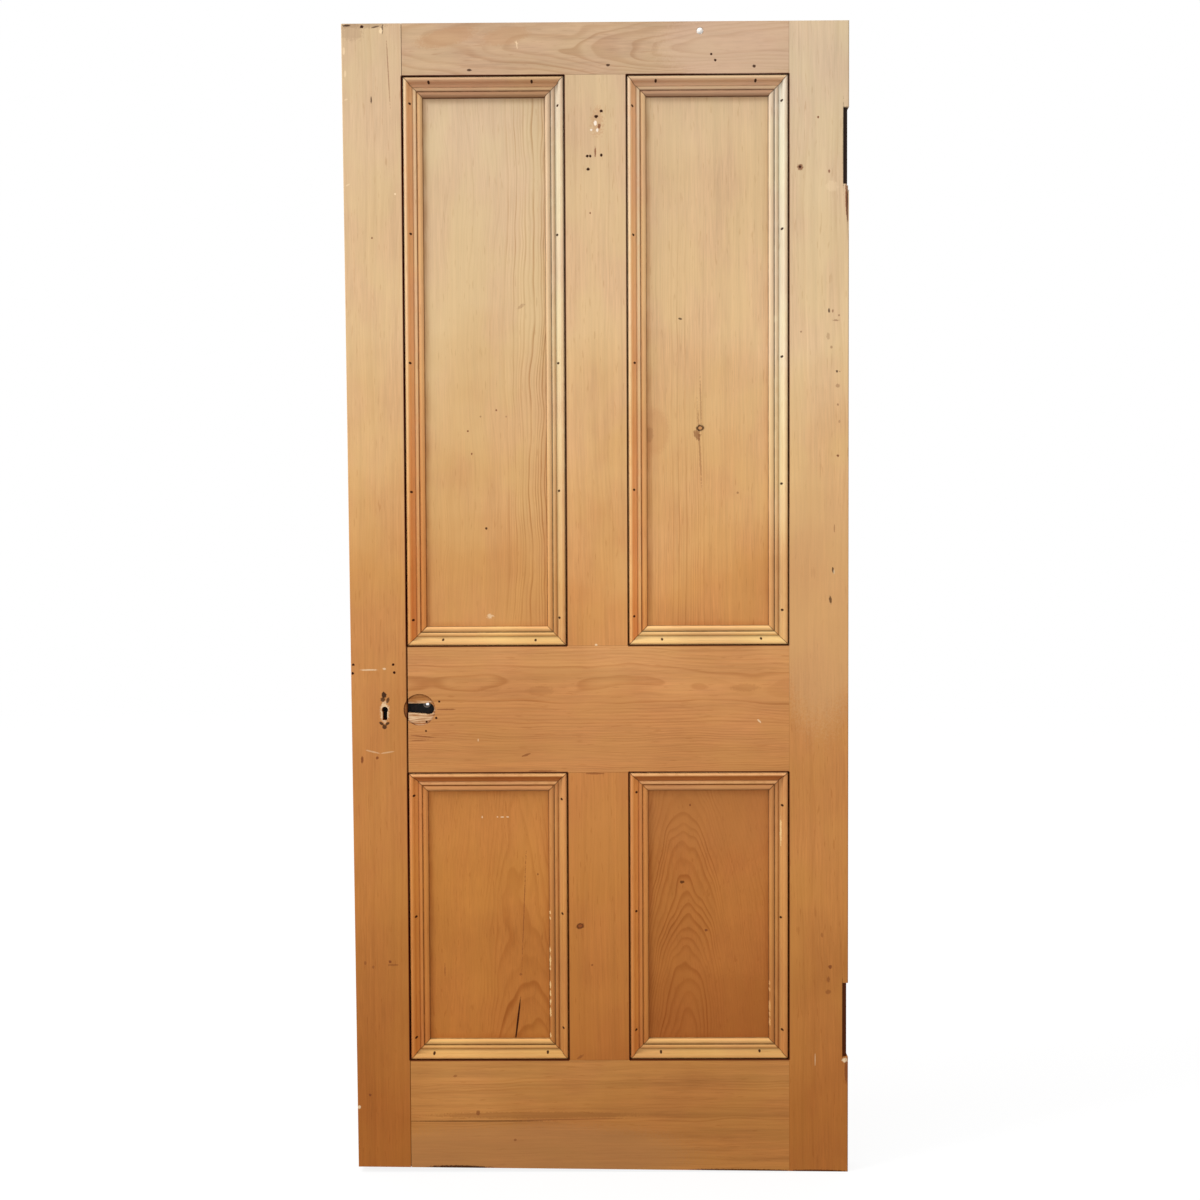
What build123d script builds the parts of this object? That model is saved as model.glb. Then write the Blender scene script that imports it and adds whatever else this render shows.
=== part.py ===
from build123d import *
import os

# Four-panel pine door leaf, put together as a joiner makes one. Two stiles, three rails
# and two muntins are ploughed for four flat panels and joined with haunched, wedged tenons.
# Mitred mouldings are planted on the panels on both faces, and a mortice lock is let into
# the lock edge. The hinges are off, but the strips that packed out their recesses are in place.
#
# Millimetres, +Z up. The front faces -Y and the hinge edge faces +X. The origin is at the
# foot of the hinge edge, midway through the thickness.

# Leaf: the lock edge is planed to a taper and the foot is sawn out of square
door_height = 1981.0
door_width = 864.0
door_thickness = 44.0
lock_edge_taper = 10.5
foot_skew = 10.4
arris_radius = 1.5

# Frame members, as seen from the front
stile_width = 102.0
muntin_width = 105.0
top_rail_height = 88.0
lock_rail_height = 219.0
bottom_rail_height = 197.5
lower_opening_height = 503.0

# Panels and the grooves that hold them
panel_thickness = 12.7
panel_play = 0.3
panel_bite = 9.0
groove_depth = 12.0

# Tenons are as thick as the grooves are wide, and their wedges spread them at the edges
tenon_shoulder = 2.0
top_haunch_height = 28.0
bottom_tenon_gap = 32.0
bottom_tenon_foot = 40.0
stub_tenon_width = 60.0
stub_tenon_depth = 32.0
wedge_length = 60.0
wedge_thickness = 6.0

# Joints that have opened as the wood shrank
lock_rail_joint_gap = 2.0
lock_side_joint_gap = 0.9
hinge_side_joint_gap = 0.2
muntin_joint_gap = 0.3

# Planted moulding, from the frame inwards: a rounded nose, an ogee that ends in a cove,
# an astragal, a sunk quirk and a bead that falls to the panel
moulding_width = 32.8
moulding_drop = 1.5
nose_crest = 3.4
nose_fall = 2.2
ogee_bend = 8.8
ogee_bend_height = 9.6
cove_end = 15.0
cove_height = 4.4
astragal_crest = 18.6
astragal_height = 6.5
quirk_start = 21.6
quirk_lip_height = 5.0
quirk_width = 1.4
quirk_floor_height = 4.0
bead_crest = 26.8
bead_height = 6.3
bead_foot_height = 1.0
bead_foot_width = 1.0
moulding_side_gap = 1.8
moulding_end_gap = 1.4
mitre_gap = 0.4

# Hinge recesses, packed out for a thinner leaf held by four staggered screws each
hinge_recess_height = 130.0
hinge_recess_depth = 10.0
hinge_leaf_width = 36.0
upper_hinge_drop = 210.0
lower_hinge_level = 267.0
screw_hole_radius = 2.6
screw_hole_depth = 40.0
screw_pitch = 32.0
screw_stagger = 14.0
packing_thickness = 7.4
packing_setback = 4.0
packing_play = 0.8

# Split that runs down the hinge edge from the upper recess, with a chip gone at its mouth
split_length = 100.0
split_depth = 10.0
split_inset = 4.2
split_tip_inset = 3.2
sliver_thickness = 2.2
sliver_drop = 16.0
chip_drop = 9.0

# Horizontal mortice lock, its keyhole, and the recess and ragged slot of a lost knob
lock_case_length = 155.0
lock_case_height = 62.0
lock_case_thickness = 15.0
lock_clearance = 0.5
forend_height = 68.0
forend_width = 22.0
forend_depth = 2.5
bolt_height = 20.0
bolt_width = 9.0
bolt_sink = 1.2
bolt_spacing = 30.0
keyhole_backset = 57.5
keyhole_radius = 5.7
keyhole_slot_width = 8.4
keyhole_slot_drop = 18.0
keyway_depth = 5.0
spindle_backset = 128.5
spindle_rise = 8.5
spindle_square = 7.0
follower_radius = 6.5
follower_stand = 0.3
rose_backset = 117.5
rose_recess_radius = 27.5
rose_recess_depth = 3.5
slot_top_rise = 11.0
slot_foot_drop = 8.0
slot_foot_lift = 3.0
slot_end_reach = 14.0

# Old hole bored through the top rail
top_hole_radius = 6.0
top_hole_from_hinge_edge = 253.5
top_hole_drop = 16.0

# Places that follow from the sizes
groove_width = panel_thickness + panel_play
tenon_setback = groove_depth + tenon_shoulder
lock_joint_x = stile_width - door_width
hinge_joint_x = -stile_width
muntin_x = (lock_joint_x + hinge_joint_x) / 2
muntin_lock_x = muntin_x - muntin_width / 2
muntin_hinge_x = muntin_x + muntin_width / 2
bottom_rail_top = bottom_rail_height
lock_rail_foot = bottom_rail_top + lower_opening_height
lock_rail_top = lock_rail_foot + lock_rail_height
top_rail_foot = door_height - top_rail_height

lock_level = (lock_rail_foot + lock_rail_top) / 2
lock_edge_slope = lock_edge_taper / (door_height - foot_skew)
lock_edge_x = lock_edge_slope * (door_height - lock_level) - door_width
keyhole_x = lock_edge_x + keyhole_backset
spindle_x = lock_edge_x + spindle_backset
spindle_level = lock_level + spindle_rise
rose_x = lock_edge_x + rose_backset
upper_hinge_level = door_height - upper_hinge_drop
hinge_levels = {"lower": lower_hinge_level, "upper": upper_hinge_level}

# Through tenons of each rail, as pairs of foot and head levels
lock_tenon_inset = forend_height / 2 + wedge_thickness + tenon_shoulder
bottom_tenon_height = (bottom_rail_height - tenon_setback - bottom_tenon_gap - bottom_tenon_foot) / 2
top_tenons = [(top_rail_foot + tenon_setback, door_height - top_haunch_height)]
lock_tenons = [
    (lock_rail_foot + tenon_setback, lock_level - lock_tenon_inset),
    (lock_level + lock_tenon_inset, lock_rail_top - tenon_setback),
]
bottom_tenons = [
    (bottom_tenon_foot, bottom_tenon_foot + bottom_tenon_height),
    (bottom_rail_top - tenon_setback - bottom_tenon_height, bottom_rail_top - tenon_setback),
]
all_tenons = top_tenons + lock_tenons + bottom_tenons

# Openings of the frame: lock-side and hinge-side edges, then foot and head
openings = {
    "upper_left": (lock_joint_x, muntin_lock_x, lock_rail_top, top_rail_foot),
    "upper_right": (muntin_hinge_x, hinge_joint_x, lock_rail_top, top_rail_foot),
    "lower_left": (lock_joint_x, muntin_lock_x, bottom_rail_top, lock_rail_foot),
    "lower_right": (muntin_hinge_x, hinge_joint_x, bottom_rail_top, lock_rail_foot),
}

os.makedirs("parts", exist_ok=True)


def block(x_low, x_high, z_low, z_high, thickness, mode=Mode.ADD):
    """Add or cut a squared length, centred on the middle of the door's thickness."""
    with BuildSketch(Plane.XZ) as elevation:
        with Locations(((x_low + x_high) / 2, (z_low + z_high) / 2)):
            Rectangle(x_high - x_low, z_high - z_low)
    extrude(elevation.sketch, amount=thickness / 2, both=True, mode=mode)


def wedge(edge_x, tip_x, level, spread, mode=Mode.ADD):
    """Add or cut one tenon wedge: its tip is inside the stile and its thick end at the edge."""
    with BuildSketch(Plane.XZ) as elevation:
        with BuildLine():
            Polyline((tip_x, level), (edge_x, level), (edge_x, level + spread), close=True)
        make_face()
    extrude(elevation.sketch, amount=groove_width / 2, both=True, mode=mode)


def tenon_wedge_pairs(edge_x, tip_x, mode=Mode.ADD):
    """A wedge above and below each through tenon at one edge of the door."""
    for foot, head in all_tenons:
        wedge(edge_x, tip_x, foot, -wedge_thickness, mode)
        wedge(edge_x, tip_x, head, wedge_thickness, mode)


def trim_to_leaf():
    """Cut the piece to the leaf's outline, with its tapered lock edge and skewed foot."""
    with BuildSketch(Plane.XZ) as outline:
        with BuildLine():
            Polyline(
                (0, 0),
                (0, door_height),
                (-door_width, door_height),
                (lock_edge_taper - door_width, foot_skew),
                close=True,
            )
        make_face()
    extrude(outline.sketch, amount=door_thickness, both=True, mode=Mode.INTERSECT)


def mortices():
    """Through mortices for every rail, flared at both edges of the door for the wedges."""
    for foot, head in all_tenons:
        block(-door_width, 0, foot, head, groove_width, Mode.SUBTRACT)
    tenon_wedge_pairs(-door_width, wedge_length - door_width, Mode.SUBTRACT)
    tenon_wedge_pairs(0, -wedge_length, Mode.SUBTRACT)


def lock_pocket():
    """The deep mortice that holds the lock's case, and the shallow one for its forend."""
    half_height = lock_case_height / 2 + lock_clearance
    block(
        -door_width,
        lock_edge_x + lock_case_length + lock_clearance,
        lock_level - half_height,
        lock_level + half_height,
        lock_case_thickness + 2 * lock_clearance,
        Mode.SUBTRACT,
    )
    block(
        -door_width,
        lock_edge_x + forend_depth,
        lock_level - forend_height / 2,
        lock_level + forend_height / 2,
        forend_width,
        Mode.SUBTRACT,
    )


def rose_recesses():
    """The round recess that a knob's rose sat in, on both faces."""
    for face in (Plane.XZ.offset(door_thickness / 2), Plane.XZ.offset(-door_thickness / 2)):
        with BuildSketch(face) as ring:
            with Locations((rose_x, lock_level)):
                Circle(rose_recess_radius)
        extrude(ring.sketch, amount=rose_recess_depth, both=True, mode=Mode.SUBTRACT)


def hinge_screw_holes(face_x, level, depth):
    """Four staggered screw holes, bored inwards from a face in one hinge recess."""
    leaf_middle_y = (hinge_leaf_width - door_thickness) / 2
    with BuildSketch(Plane.YZ.offset(face_x)) as holes:
        for step, side in ((-1.5, -1), (-0.5, 1), (0.5, -1), (1.5, 1)):
            with Locations((leaf_middle_y + side * screw_stagger / 2, level + step * screw_pitch)):
                Circle(screw_hole_radius)
    extrude(holes.sketch, amount=-depth, mode=Mode.SUBTRACT)


def keyhole_outline():
    """Round head with a straight slot hanging from it."""
    with BuildSketch(Plane.XZ) as outline:
        with Locations((keyhole_x, lock_level)):
            Circle(keyhole_radius)
        with Locations((keyhole_x, lock_level - keyhole_slot_drop / 2)):
            Rectangle(keyhole_slot_width, keyhole_slot_drop)
    return outline.sketch


def rail(foot, head, tenons, lock_gap):
    """Body between the shoulders, tongues that fill the stiles' grooves, and through tenons."""
    block(lock_joint_x + lock_gap, hinge_joint_x - hinge_side_joint_gap, foot, head, door_thickness)
    block(lock_joint_x - groove_depth, hinge_joint_x + groove_depth, foot, head, groove_width)
    for tenon_foot, tenon_head in tenons:
        block(-door_width, 0, tenon_foot, tenon_head, groove_width)


def rail_groove(foot, head):
    """Groove along a rail's edge, run out through its tongues, and the muntin's mortice."""
    block(
        lock_joint_x - groove_depth,
        hinge_joint_x + groove_depth,
        foot,
        head,
        groove_width,
        Mode.SUBTRACT,
    )


def muntin_mortice(foot, head):
    """Stub mortice in a rail for the end of a muntin."""
    half_width = stub_tenon_width / 2
    block(muntin_x - half_width, muntin_x + half_width, foot, head, groove_width, Mode.SUBTRACT)


def muntin(foot, head):
    """Body between two rails, with tongues, stub tenons and a groove down each side."""
    half_width = stub_tenon_width / 2
    ends = groove_depth
    block(muntin_lock_x, muntin_hinge_x, foot + muntin_joint_gap, head - muntin_joint_gap, door_thickness)
    block(muntin_lock_x, muntin_hinge_x, foot - ends, head + ends, groove_width)
    for side_x, inner_x in (
        (muntin_lock_x, muntin_lock_x + groove_depth),
        (muntin_hinge_x - groove_depth, muntin_hinge_x),
    ):
        block(side_x, inner_x, foot - ends, head + ends, groove_width, Mode.SUBTRACT)
    block(
        muntin_x - half_width,
        muntin_x + half_width,
        foot - stub_tenon_depth,
        head + stub_tenon_depth,
        groove_width,
    )


def mitred_moulding(side, run):
    """One length of moulding, flat on the panel, with its ends cut to mitres.

    The plane's x runs along the outer edge, its y points inwards over the panel and
    its z points off the panel.
    """
    height = (door_thickness - panel_thickness) / 2 - moulding_drop
    crest = (nose_crest, height)
    bend = (ogee_bend, ogee_bend_height)
    cove = (cove_end, cove_height)
    quirk_lip = (quirk_start, quirk_lip_height)
    quirk_floor = (quirk_start + quirk_width, quirk_floor_height)
    bead_foot = (moulding_width - bead_foot_width, bead_foot_height)
    start = side.from_local_coords(Vector(-run / 2, 0, 0))
    with BuildSketch(Plane(start, x_dir=side.y_dir, z_dir=side.x_dir)) as section:
        with BuildLine():
            TangentArc(crest, (0, height - nose_fall), tangent=(-1, 0))
            fall = TangentArc(crest, bend, tangent=(1, 0))
            TangentArc(bend, cove, tangent=fall % 1)
            ThreePointArc(cove, (astragal_crest, astragal_height), quirk_lip)
            Polyline(quirk_lip, (quirk_start, quirk_floor_height), quirk_floor)
            ThreePointArc(quirk_floor, (bead_crest, bead_height), bead_foot)
            Polyline(
                bead_foot,
                (moulding_width, bead_foot_height),
                (moulding_width, 0),
                (0, 0),
                (0, height - nose_fall),
            )
        make_face()
    extrude(section.sketch, amount=run)
    heel = (run - mitre_gap) / 2
    toe = heel - moulding_width
    with BuildSketch(side) as mitres:
        with BuildLine():
            Polyline((-heel, 0), (heel, 0), (toe, moulding_width), (-toe, moulding_width), close=True)
        make_face()
    extrude(mitres.sketch, amount=door_thickness, mode=Mode.INTERSECT)


# Lock stile: full height, grooved inside, morticed for the rails and the lock
with BuildPart() as lock_stile:
    block(-door_width, lock_joint_x, 0, door_height, door_thickness)
    block(lock_joint_x - groove_depth, lock_joint_x, 0, door_height, groove_width, Mode.SUBTRACT)
    trim_to_leaf()
    lock_edge = lock_stile.faces().sort_by(Axis.X)[0]
    fillet(lock_edge.edges().filter_by(lambda edge: edge.length > door_height / 2), arris_radius)
    mortices()
    lock_pocket()
    rose_recesses()
    extrude(keyhole_outline(), amount=door_thickness, both=True, mode=Mode.SUBTRACT)
lock_stile.part.label = "lock_stile"
export_step(lock_stile.part, "parts/lock_stile.step")

# Hinge stile: full height, with two hinge recesses open at the front and the edge, and a split
with BuildPart() as hinge_stile:
    block(hinge_joint_x, 0, 0, door_height, door_thickness)
    block(hinge_joint_x, hinge_joint_x + groove_depth, 0, door_height, groove_width, Mode.SUBTRACT)
    trim_to_leaf()
    hinge_edge = hinge_stile.faces().sort_by(Axis.X)[-1]
    fillet(hinge_edge.edges().filter_by(Axis.Z), arris_radius)
    mortices()
    with BuildSketch(Plane.XZ.offset(door_thickness / 2)):
        for level in hinge_levels.values():
            with Locations((-hinge_recess_depth / 2, level)):
                Rectangle(hinge_recess_depth, hinge_recess_height)
    extrude(amount=-hinge_leaf_width, mode=Mode.SUBTRACT)
    for level in hinge_levels.values():
        hinge_screw_holes(-hinge_recess_depth, level, screw_hole_depth)
    split_top = upper_hinge_level - hinge_recess_height / 2
    with BuildSketch(Plane.XZ.offset(door_thickness / 2)):
        with BuildLine():
            Polyline(
                (0, split_top),
                (-split_inset, split_top),
                (-split_tip_inset, split_top - split_length),
                (-sliver_thickness, split_top - sliver_drop),
                (0, split_top - chip_drop),
                close=True,
            )
        make_face()
    extrude(amount=-split_depth, mode=Mode.SUBTRACT)
hinge_stile.part.label = "hinge_stile"
export_step(hinge_stile.part, "parts/hinge_stile.step")

# Top rail: single tenons, haunched to the top, with an old hole bored through
with BuildPart() as top_rail:
    rail(top_rail_foot, door_height, top_tenons, lock_side_joint_gap)
    rail_groove(top_rail_foot, top_rail_foot + groove_depth)
    muntin_mortice(top_rail_foot, top_rail_foot + stub_tenon_depth)
    trim_to_leaf()
    with BuildSketch(Plane.XZ):
        with Locations((-top_hole_from_hinge_edge, door_height - top_hole_drop)):
            Circle(top_hole_radius)
    extrude(amount=door_thickness, both=True, mode=Mode.SUBTRACT)
top_rail.part.label = "top_rail"
export_step(top_rail.part, "parts/top_rail.step")

# Lock rail: twin tenons above and below the lock, with the knob's slot cut to the shoulder
with BuildPart() as lock_rail:
    rail(lock_rail_foot, lock_rail_top, lock_tenons, lock_rail_joint_gap)
    rail_groove(lock_rail_top - groove_depth, lock_rail_top)
    rail_groove(lock_rail_foot, lock_rail_foot + groove_depth)
    muntin_mortice(lock_rail_top - stub_tenon_depth, lock_rail_top)
    muntin_mortice(lock_rail_foot, lock_rail_foot + stub_tenon_depth)
    trim_to_leaf()
    lock_pocket()
    rose_recesses()
    slot_end_x = spindle_x + slot_end_reach
    slot_top = lock_level + slot_top_rise
    slot_foot = lock_level - slot_foot_drop
    with BuildSketch(Plane.XZ):
        with BuildLine():
            Polyline(
                (spindle_x, slot_foot),
                (lock_joint_x, slot_foot + slot_foot_lift),
                (lock_joint_x, slot_top),
                (spindle_x, slot_top),
            )
            ThreePointArc((spindle_x, slot_top), (slot_end_x, lock_level), (spindle_x, slot_foot))
        make_face()
    extrude(amount=door_thickness, both=True, mode=Mode.SUBTRACT)
lock_rail.part.label = "lock_rail"
export_step(lock_rail.part, "parts/lock_rail.step")

# Bottom rail: twin tenons, and a foot that follows the skewed cut
with BuildPart() as bottom_rail:
    rail(0, bottom_rail_top, bottom_tenons, lock_side_joint_gap)
    rail_groove(bottom_rail_top - groove_depth, bottom_rail_top)
    muntin_mortice(bottom_rail_top - stub_tenon_depth, bottom_rail_top)
    trim_to_leaf()
bottom_rail.part.label = "bottom_rail"
export_step(bottom_rail.part, "parts/bottom_rail.step")

# Muntins: the uprights between the rails
with BuildPart() as upper_muntin:
    muntin(lock_rail_top, top_rail_foot)
upper_muntin.part.label = "upper_muntin"
export_step(upper_muntin.part, "parts/upper_muntin.step")

with BuildPart() as lower_muntin:
    muntin(bottom_rail_top, lock_rail_foot)
lower_muntin.part.label = "lower_muntin"
export_step(lower_muntin.part, "parts/lower_muntin.step")

# Panels: flat boards that stand on the lower groove and are free to move in the others
for place, (lock_side, hinge_side, foot, head) in openings.items():
    with BuildPart() as panel:
        block(
            lock_side - panel_bite,
            hinge_side + panel_bite,
            foot - groove_depth,
            head + panel_bite,
            panel_thickness,
        )
    panel.part.label = f"{place}_panel"
    export_step(panel.part, f"parts/{place}_panel.step")

# Planted mouldings: four lengths round each panel, on the front and on the back
for face_name, outwards in (("front", Vector(0, -1, 0)), ("back", Vector(0, 1, 0))):
    for place, (lock_side, hinge_side, foot, head) in openings.items():
        middle = Vector((lock_side + hinge_side) / 2, 0, (foot + head) / 2)
        panel_face = middle + outwards * (panel_thickness / 2)
        width = hinge_side - lock_side - 2 * moulding_side_gap
        height = head - foot - 2 * moulding_end_gap
        for side_name, inwards, across, run in (
            ("top", Vector(0, 0, -1), height, width),
            ("bottom", Vector(0, 0, 1), height, width),
            ("left", Vector(1, 0, 0), width, height),
            ("right", Vector(-1, 0, 0), width, height),
        ):
            outer_edge = panel_face - inwards * (across / 2)
            node = f"{face_name}_{place}_{side_name}_moulding"
            with BuildPart() as moulding:
                mitred_moulding(Plane(outer_edge, x_dir=inwards.cross(outwards), z_dir=outwards), run)
            moulding.part.label = node
            export_step(moulding.part, f"parts/{node}.step")

# Wedges: driven in from both edges, above and below each through tenon
with BuildPart() as tenon_wedges:
    tenon_wedge_pairs(-door_width, wedge_length - door_width)
    tenon_wedge_pairs(0, -wedge_length)
    trim_to_leaf()
tenon_wedges.part.label = "tenon_wedges"
export_step(tenon_wedges.part, "parts/tenon_wedges.step")

# Hinge packings: dark strips that lie on the floor of each recess, set back from the front
for place, level in hinge_levels.items():
    with BuildPart() as packing:
        with BuildSketch(Plane.XZ.offset(door_thickness / 2 - packing_setback)):
            with Locations((packing_thickness / 2 - hinge_recess_depth, level - packing_play / 2)):
                Rectangle(packing_thickness, hinge_recess_height - packing_play)
        extrude(amount=packing_setback + packing_play - hinge_leaf_width)
        hinge_screw_holes(packing_thickness - hinge_recess_depth, level, packing_thickness)
    packing.part.label = f"{place}_hinge_packing"
    export_step(packing.part, f"parts/{place}_hinge_packing.step")

# Mortice lock: an iron case with a forend flush in the door's edge. The latch and the bolt
# are drawn back, the keyway is blind, and the follower takes the knob's square spindle.
with BuildPart() as mortice_lock:
    block(
        lock_edge_x,
        lock_edge_x + lock_case_length,
        lock_level - lock_case_height / 2,
        lock_level + lock_case_height / 2,
        lock_case_thickness,
    )
    block(
        -door_width,
        lock_edge_x + forend_depth,
        lock_level - forend_height / 2,
        lock_level + forend_height / 2,
        forend_width,
    )
    trim_to_leaf()
    with BuildSketch(Plane.YZ.offset(lock_edge_x)):
        for side in (-1, 1):
            with Locations((0, lock_level + side * bolt_spacing / 2)):
                Rectangle(bolt_width, bolt_height)
    extrude(amount=bolt_sink, both=True, mode=Mode.SUBTRACT)
    for side in (-1, 1):
        with BuildSketch(Plane.XZ.offset(side * lock_case_thickness / 2)):
            add(keyhole_outline())
        extrude(amount=keyway_depth, both=True, mode=Mode.SUBTRACT)
    with BuildSketch(Plane.XZ):
        with Locations((spindle_x, spindle_level)):
            Circle(follower_radius)
    extrude(amount=lock_case_thickness / 2 + follower_stand, both=True)
    with BuildSketch(Plane.XZ):
        with Locations((spindle_x, spindle_level)):
            Rectangle(spindle_square, spindle_square)
    extrude(amount=door_thickness, both=True, mode=Mode.SUBTRACT)
mortice_lock.part.label = "mortice_lock"
export_step(mortice_lock.part, "parts/mortice_lock.step")
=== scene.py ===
import math

import bpy
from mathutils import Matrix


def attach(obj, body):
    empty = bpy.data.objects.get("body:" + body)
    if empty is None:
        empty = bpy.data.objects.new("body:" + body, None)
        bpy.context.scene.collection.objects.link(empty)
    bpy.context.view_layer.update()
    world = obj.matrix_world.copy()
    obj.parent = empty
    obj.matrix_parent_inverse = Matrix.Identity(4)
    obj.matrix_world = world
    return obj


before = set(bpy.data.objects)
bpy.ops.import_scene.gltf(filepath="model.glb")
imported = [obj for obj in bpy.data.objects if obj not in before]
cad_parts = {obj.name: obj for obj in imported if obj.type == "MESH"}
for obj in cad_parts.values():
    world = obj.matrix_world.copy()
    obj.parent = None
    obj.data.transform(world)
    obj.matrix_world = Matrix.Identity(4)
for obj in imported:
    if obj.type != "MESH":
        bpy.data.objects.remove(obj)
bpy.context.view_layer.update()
bpy.ops.object.select_all(action="DESELECT")


# Stiles: the two full-height uprights of the frame, in old pine with quiet upright grain.
# They are ploughed and morticed for the other boards, stripped of paint and waxed, and
# carry the marks of lost fittings: keyhole plate, bolts and hinges.
def put(tree, kind, inputs=None, **settings):
    """Add a shader node, set its properties, then link or fill its inputs."""
    node = tree.nodes.new("ShaderNode" + kind)
    for name, value in settings.items():
        setattr(node, name, value)
    for name, value in (inputs or {}).items():
        if isinstance(value, bpy.types.NodeSocket):
            tree.links.new(value, node.inputs[name])
        else:
            node.inputs[name].default_value = value
    return node


def calc(tree, operation, *values):
    """A Math node on numbers or sockets."""
    return put(tree, "Math", dict(enumerate(values)), operation=operation).outputs[0]


def vector_calc(tree, operation, *values):
    """A Vector Math node, giving its vector."""
    return put(tree, "VectorMath", dict(enumerate(values)), operation=operation).outputs["Vector"]


def span(tree, operation, *values):
    """A Vector Math node that gives a number, such as a length or a dot product."""
    return put(tree, "VectorMath", dict(enumerate(values)), operation=operation).outputs["Value"]


def stretch(tree, vector, scale):
    """A vector times one number."""
    return put(tree, "VectorMath", {0: vector, "Scale": scale}, operation="SCALE").outputs["Vector"]


def ease(tree, value, low, high, first=0.0, last=1.0):
    """A smooth step from one value to another as the input goes from low to high."""
    inputs = {"Value": value, "From Min": low, "From Max": high, "To Min": first, "To Max": last}
    return put(tree, "MapRange", inputs, interpolation_type="SMOOTHSTEP").outputs["Result"]


def noise(tree, vector, scale=1.0, detail=2.0):
    """Soft noise round 0.5."""
    return put(tree, "TexNoise", {"Vector": vector, "Scale": scale, "Detail": detail}).outputs[0]


def blend(tree, factor, first, second, mode="MIX"):
    """Mix two colours."""
    inputs = {0: factor, 6: first, 7: second}
    return put(tree, "Mix", inputs, data_type="RGBA", blend_type=mode).outputs[2]


def srgb(red, green, blue):
    """A colour from its 0 to 255 display values."""
    channels = []
    for value in (red / 255, green / 255, blue / 255):
        channels.append(value / 12.92 if value <= 0.04045 else ((value + 0.055) / 1.055) ** 2.4)
    return (*channels, 1.0)


def start_group(name, inputs, outputs):
    """Make a shader node group, in which a default's form gives its socket's kind."""
    group = bpy.data.node_groups.new(name, "ShaderNodeTree")
    for direction, sockets in (("INPUT", inputs), ("OUTPUT", outputs)):
        for label, value in sockets.items():
            kind = "Float" if isinstance(value, float) else {3: "Vector", 4: "Color"}[len(value)]
            kind = "NodeSocket" + kind
            socket = group.interface.new_socket(label, in_out=direction, socket_type=kind)
            socket.default_value = value
    given = group.nodes.new("NodeGroupInput").outputs
    gives = group.nodes.new("NodeGroupOutput").inputs
    return group, given, gives


# Old pine as a solid log: growth rings round a pith along Z, darker towards each ring's end.
# The door is paler at the head, and deeper and more orange towards the foot: partly the wood's own
# tone, partly painted light that is strongest at the head.
old_pine, given, gives = start_group(
    "old_pine",
    {
        "Vector": (0.0, 0.0, 0.0),
        "Log": (0.0, 0.0, 0.0),
        "Ring Spacing": 0.005,
        "Wander": 0.012,
        "Line Strength": 0.5,
        "Streak Strength": 0.5,
        "Tint": (1.0, 1.0, 1.0, 1.0),
        "Figure Middle": (0.0, 0.0, 0.0),
        "Figure Reach": (0.0, 0.0, 0.0),
    },
    {"Colour": (1.0, 1.0, 1.0, 1.0), "Height": 0.0},
)


def grain_noise(scale, detail):
    """Noise in the log, by its scale in the two directions across the grain and along it."""
    return noise(old_pine, vector_calc(old_pine, "MULTIPLY", given["Log"], scale), 1.0, detail)


# The rings wander, lie unevenly and differ in depth, and show most in the board's figure.
drift_place = vector_calc(old_pine, "MULTIPLY", given["Log"], (7.0, 7.0, 2.6))
drift = put(old_pine, "TexNoise", {"Vector": drift_place, "Scale": 1.0, "Detail": 3.0}).outputs["Color"]
drift = stretch(old_pine, vector_calc(old_pine, "SUBTRACT", drift, (0.5, 0.5, 0.5)), given["Wander"])
log_place = vector_calc(old_pine, "ADD", given["Log"], drift)
radius = span(old_pine, "LENGTH", vector_calc(old_pine, "MULTIPLY", log_place, (1.0, 1.0, 0.0)))
uneven_inputs = {"W": radius, "Scale": 60.0, "Detail": 1.0}
uneven = put(old_pine, "TexNoise", uneven_inputs, noise_dimensions="1D").outputs[0]
uneven = calc(old_pine, "MULTIPLY", calc(old_pine, "SUBTRACT", uneven, 0.5), 2.4)
count = calc(old_pine, "ADD", calc(old_pine, "DIVIDE", radius, given["Ring Spacing"]), uneven)
turn = calc(old_pine, "FRACT", count)
late_start, late_peak = 0.35, 0.86
late = ease(old_pine, turn, late_start, late_peak)
late = calc(old_pine, "MULTIPLY", late, ease(old_pine, turn, late_peak, 1.0, 1.0, 0.0))
ring_number = {"W": calc(old_pine, "FLOOR", count)}
ring = put(old_pine, "TexWhiteNoise", ring_number, noise_dimensions="1D").outputs["Value"]
faintest_ring = 0.3
late = calc(old_pine, "MULTIPLY", late, ease(old_pine, ring, 0.0, 1.0, faintest_ring, 1.0))
patchy = ease(old_pine, noise(old_pine, given["Vector"], 9.0), 0.3, 0.7, 0.4, 1.0)
late = calc(old_pine, "MULTIPLY", late, patchy)
off = vector_calc(old_pine, "SUBTRACT", given["Vector"], given["Figure Middle"])
off = span(old_pine, "LENGTH", vector_calc(old_pine, "MULTIPLY", off, given["Figure Reach"]))
outside_figure = 0.2
late = calc(old_pine, "MULTIPLY", late, ease(old_pine, off, 0.6, 1.4, 1.0, outside_figure))
fibre = grain_noise((430.0, 430.0, 20.0), 3.0)
resin = ease(old_pine, grain_noise((330.0, 330.0, 34.0), 1.0), 0.64, 0.76, 0.0, 0.34)
streak = grain_noise((90.0, 90.0, 2.0), 2.0)
mottle = grain_noise((16.0, 16.0, 8.0), 2.0)
blotch = noise(old_pine, given["Vector"], 4.0, 4.0)

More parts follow.
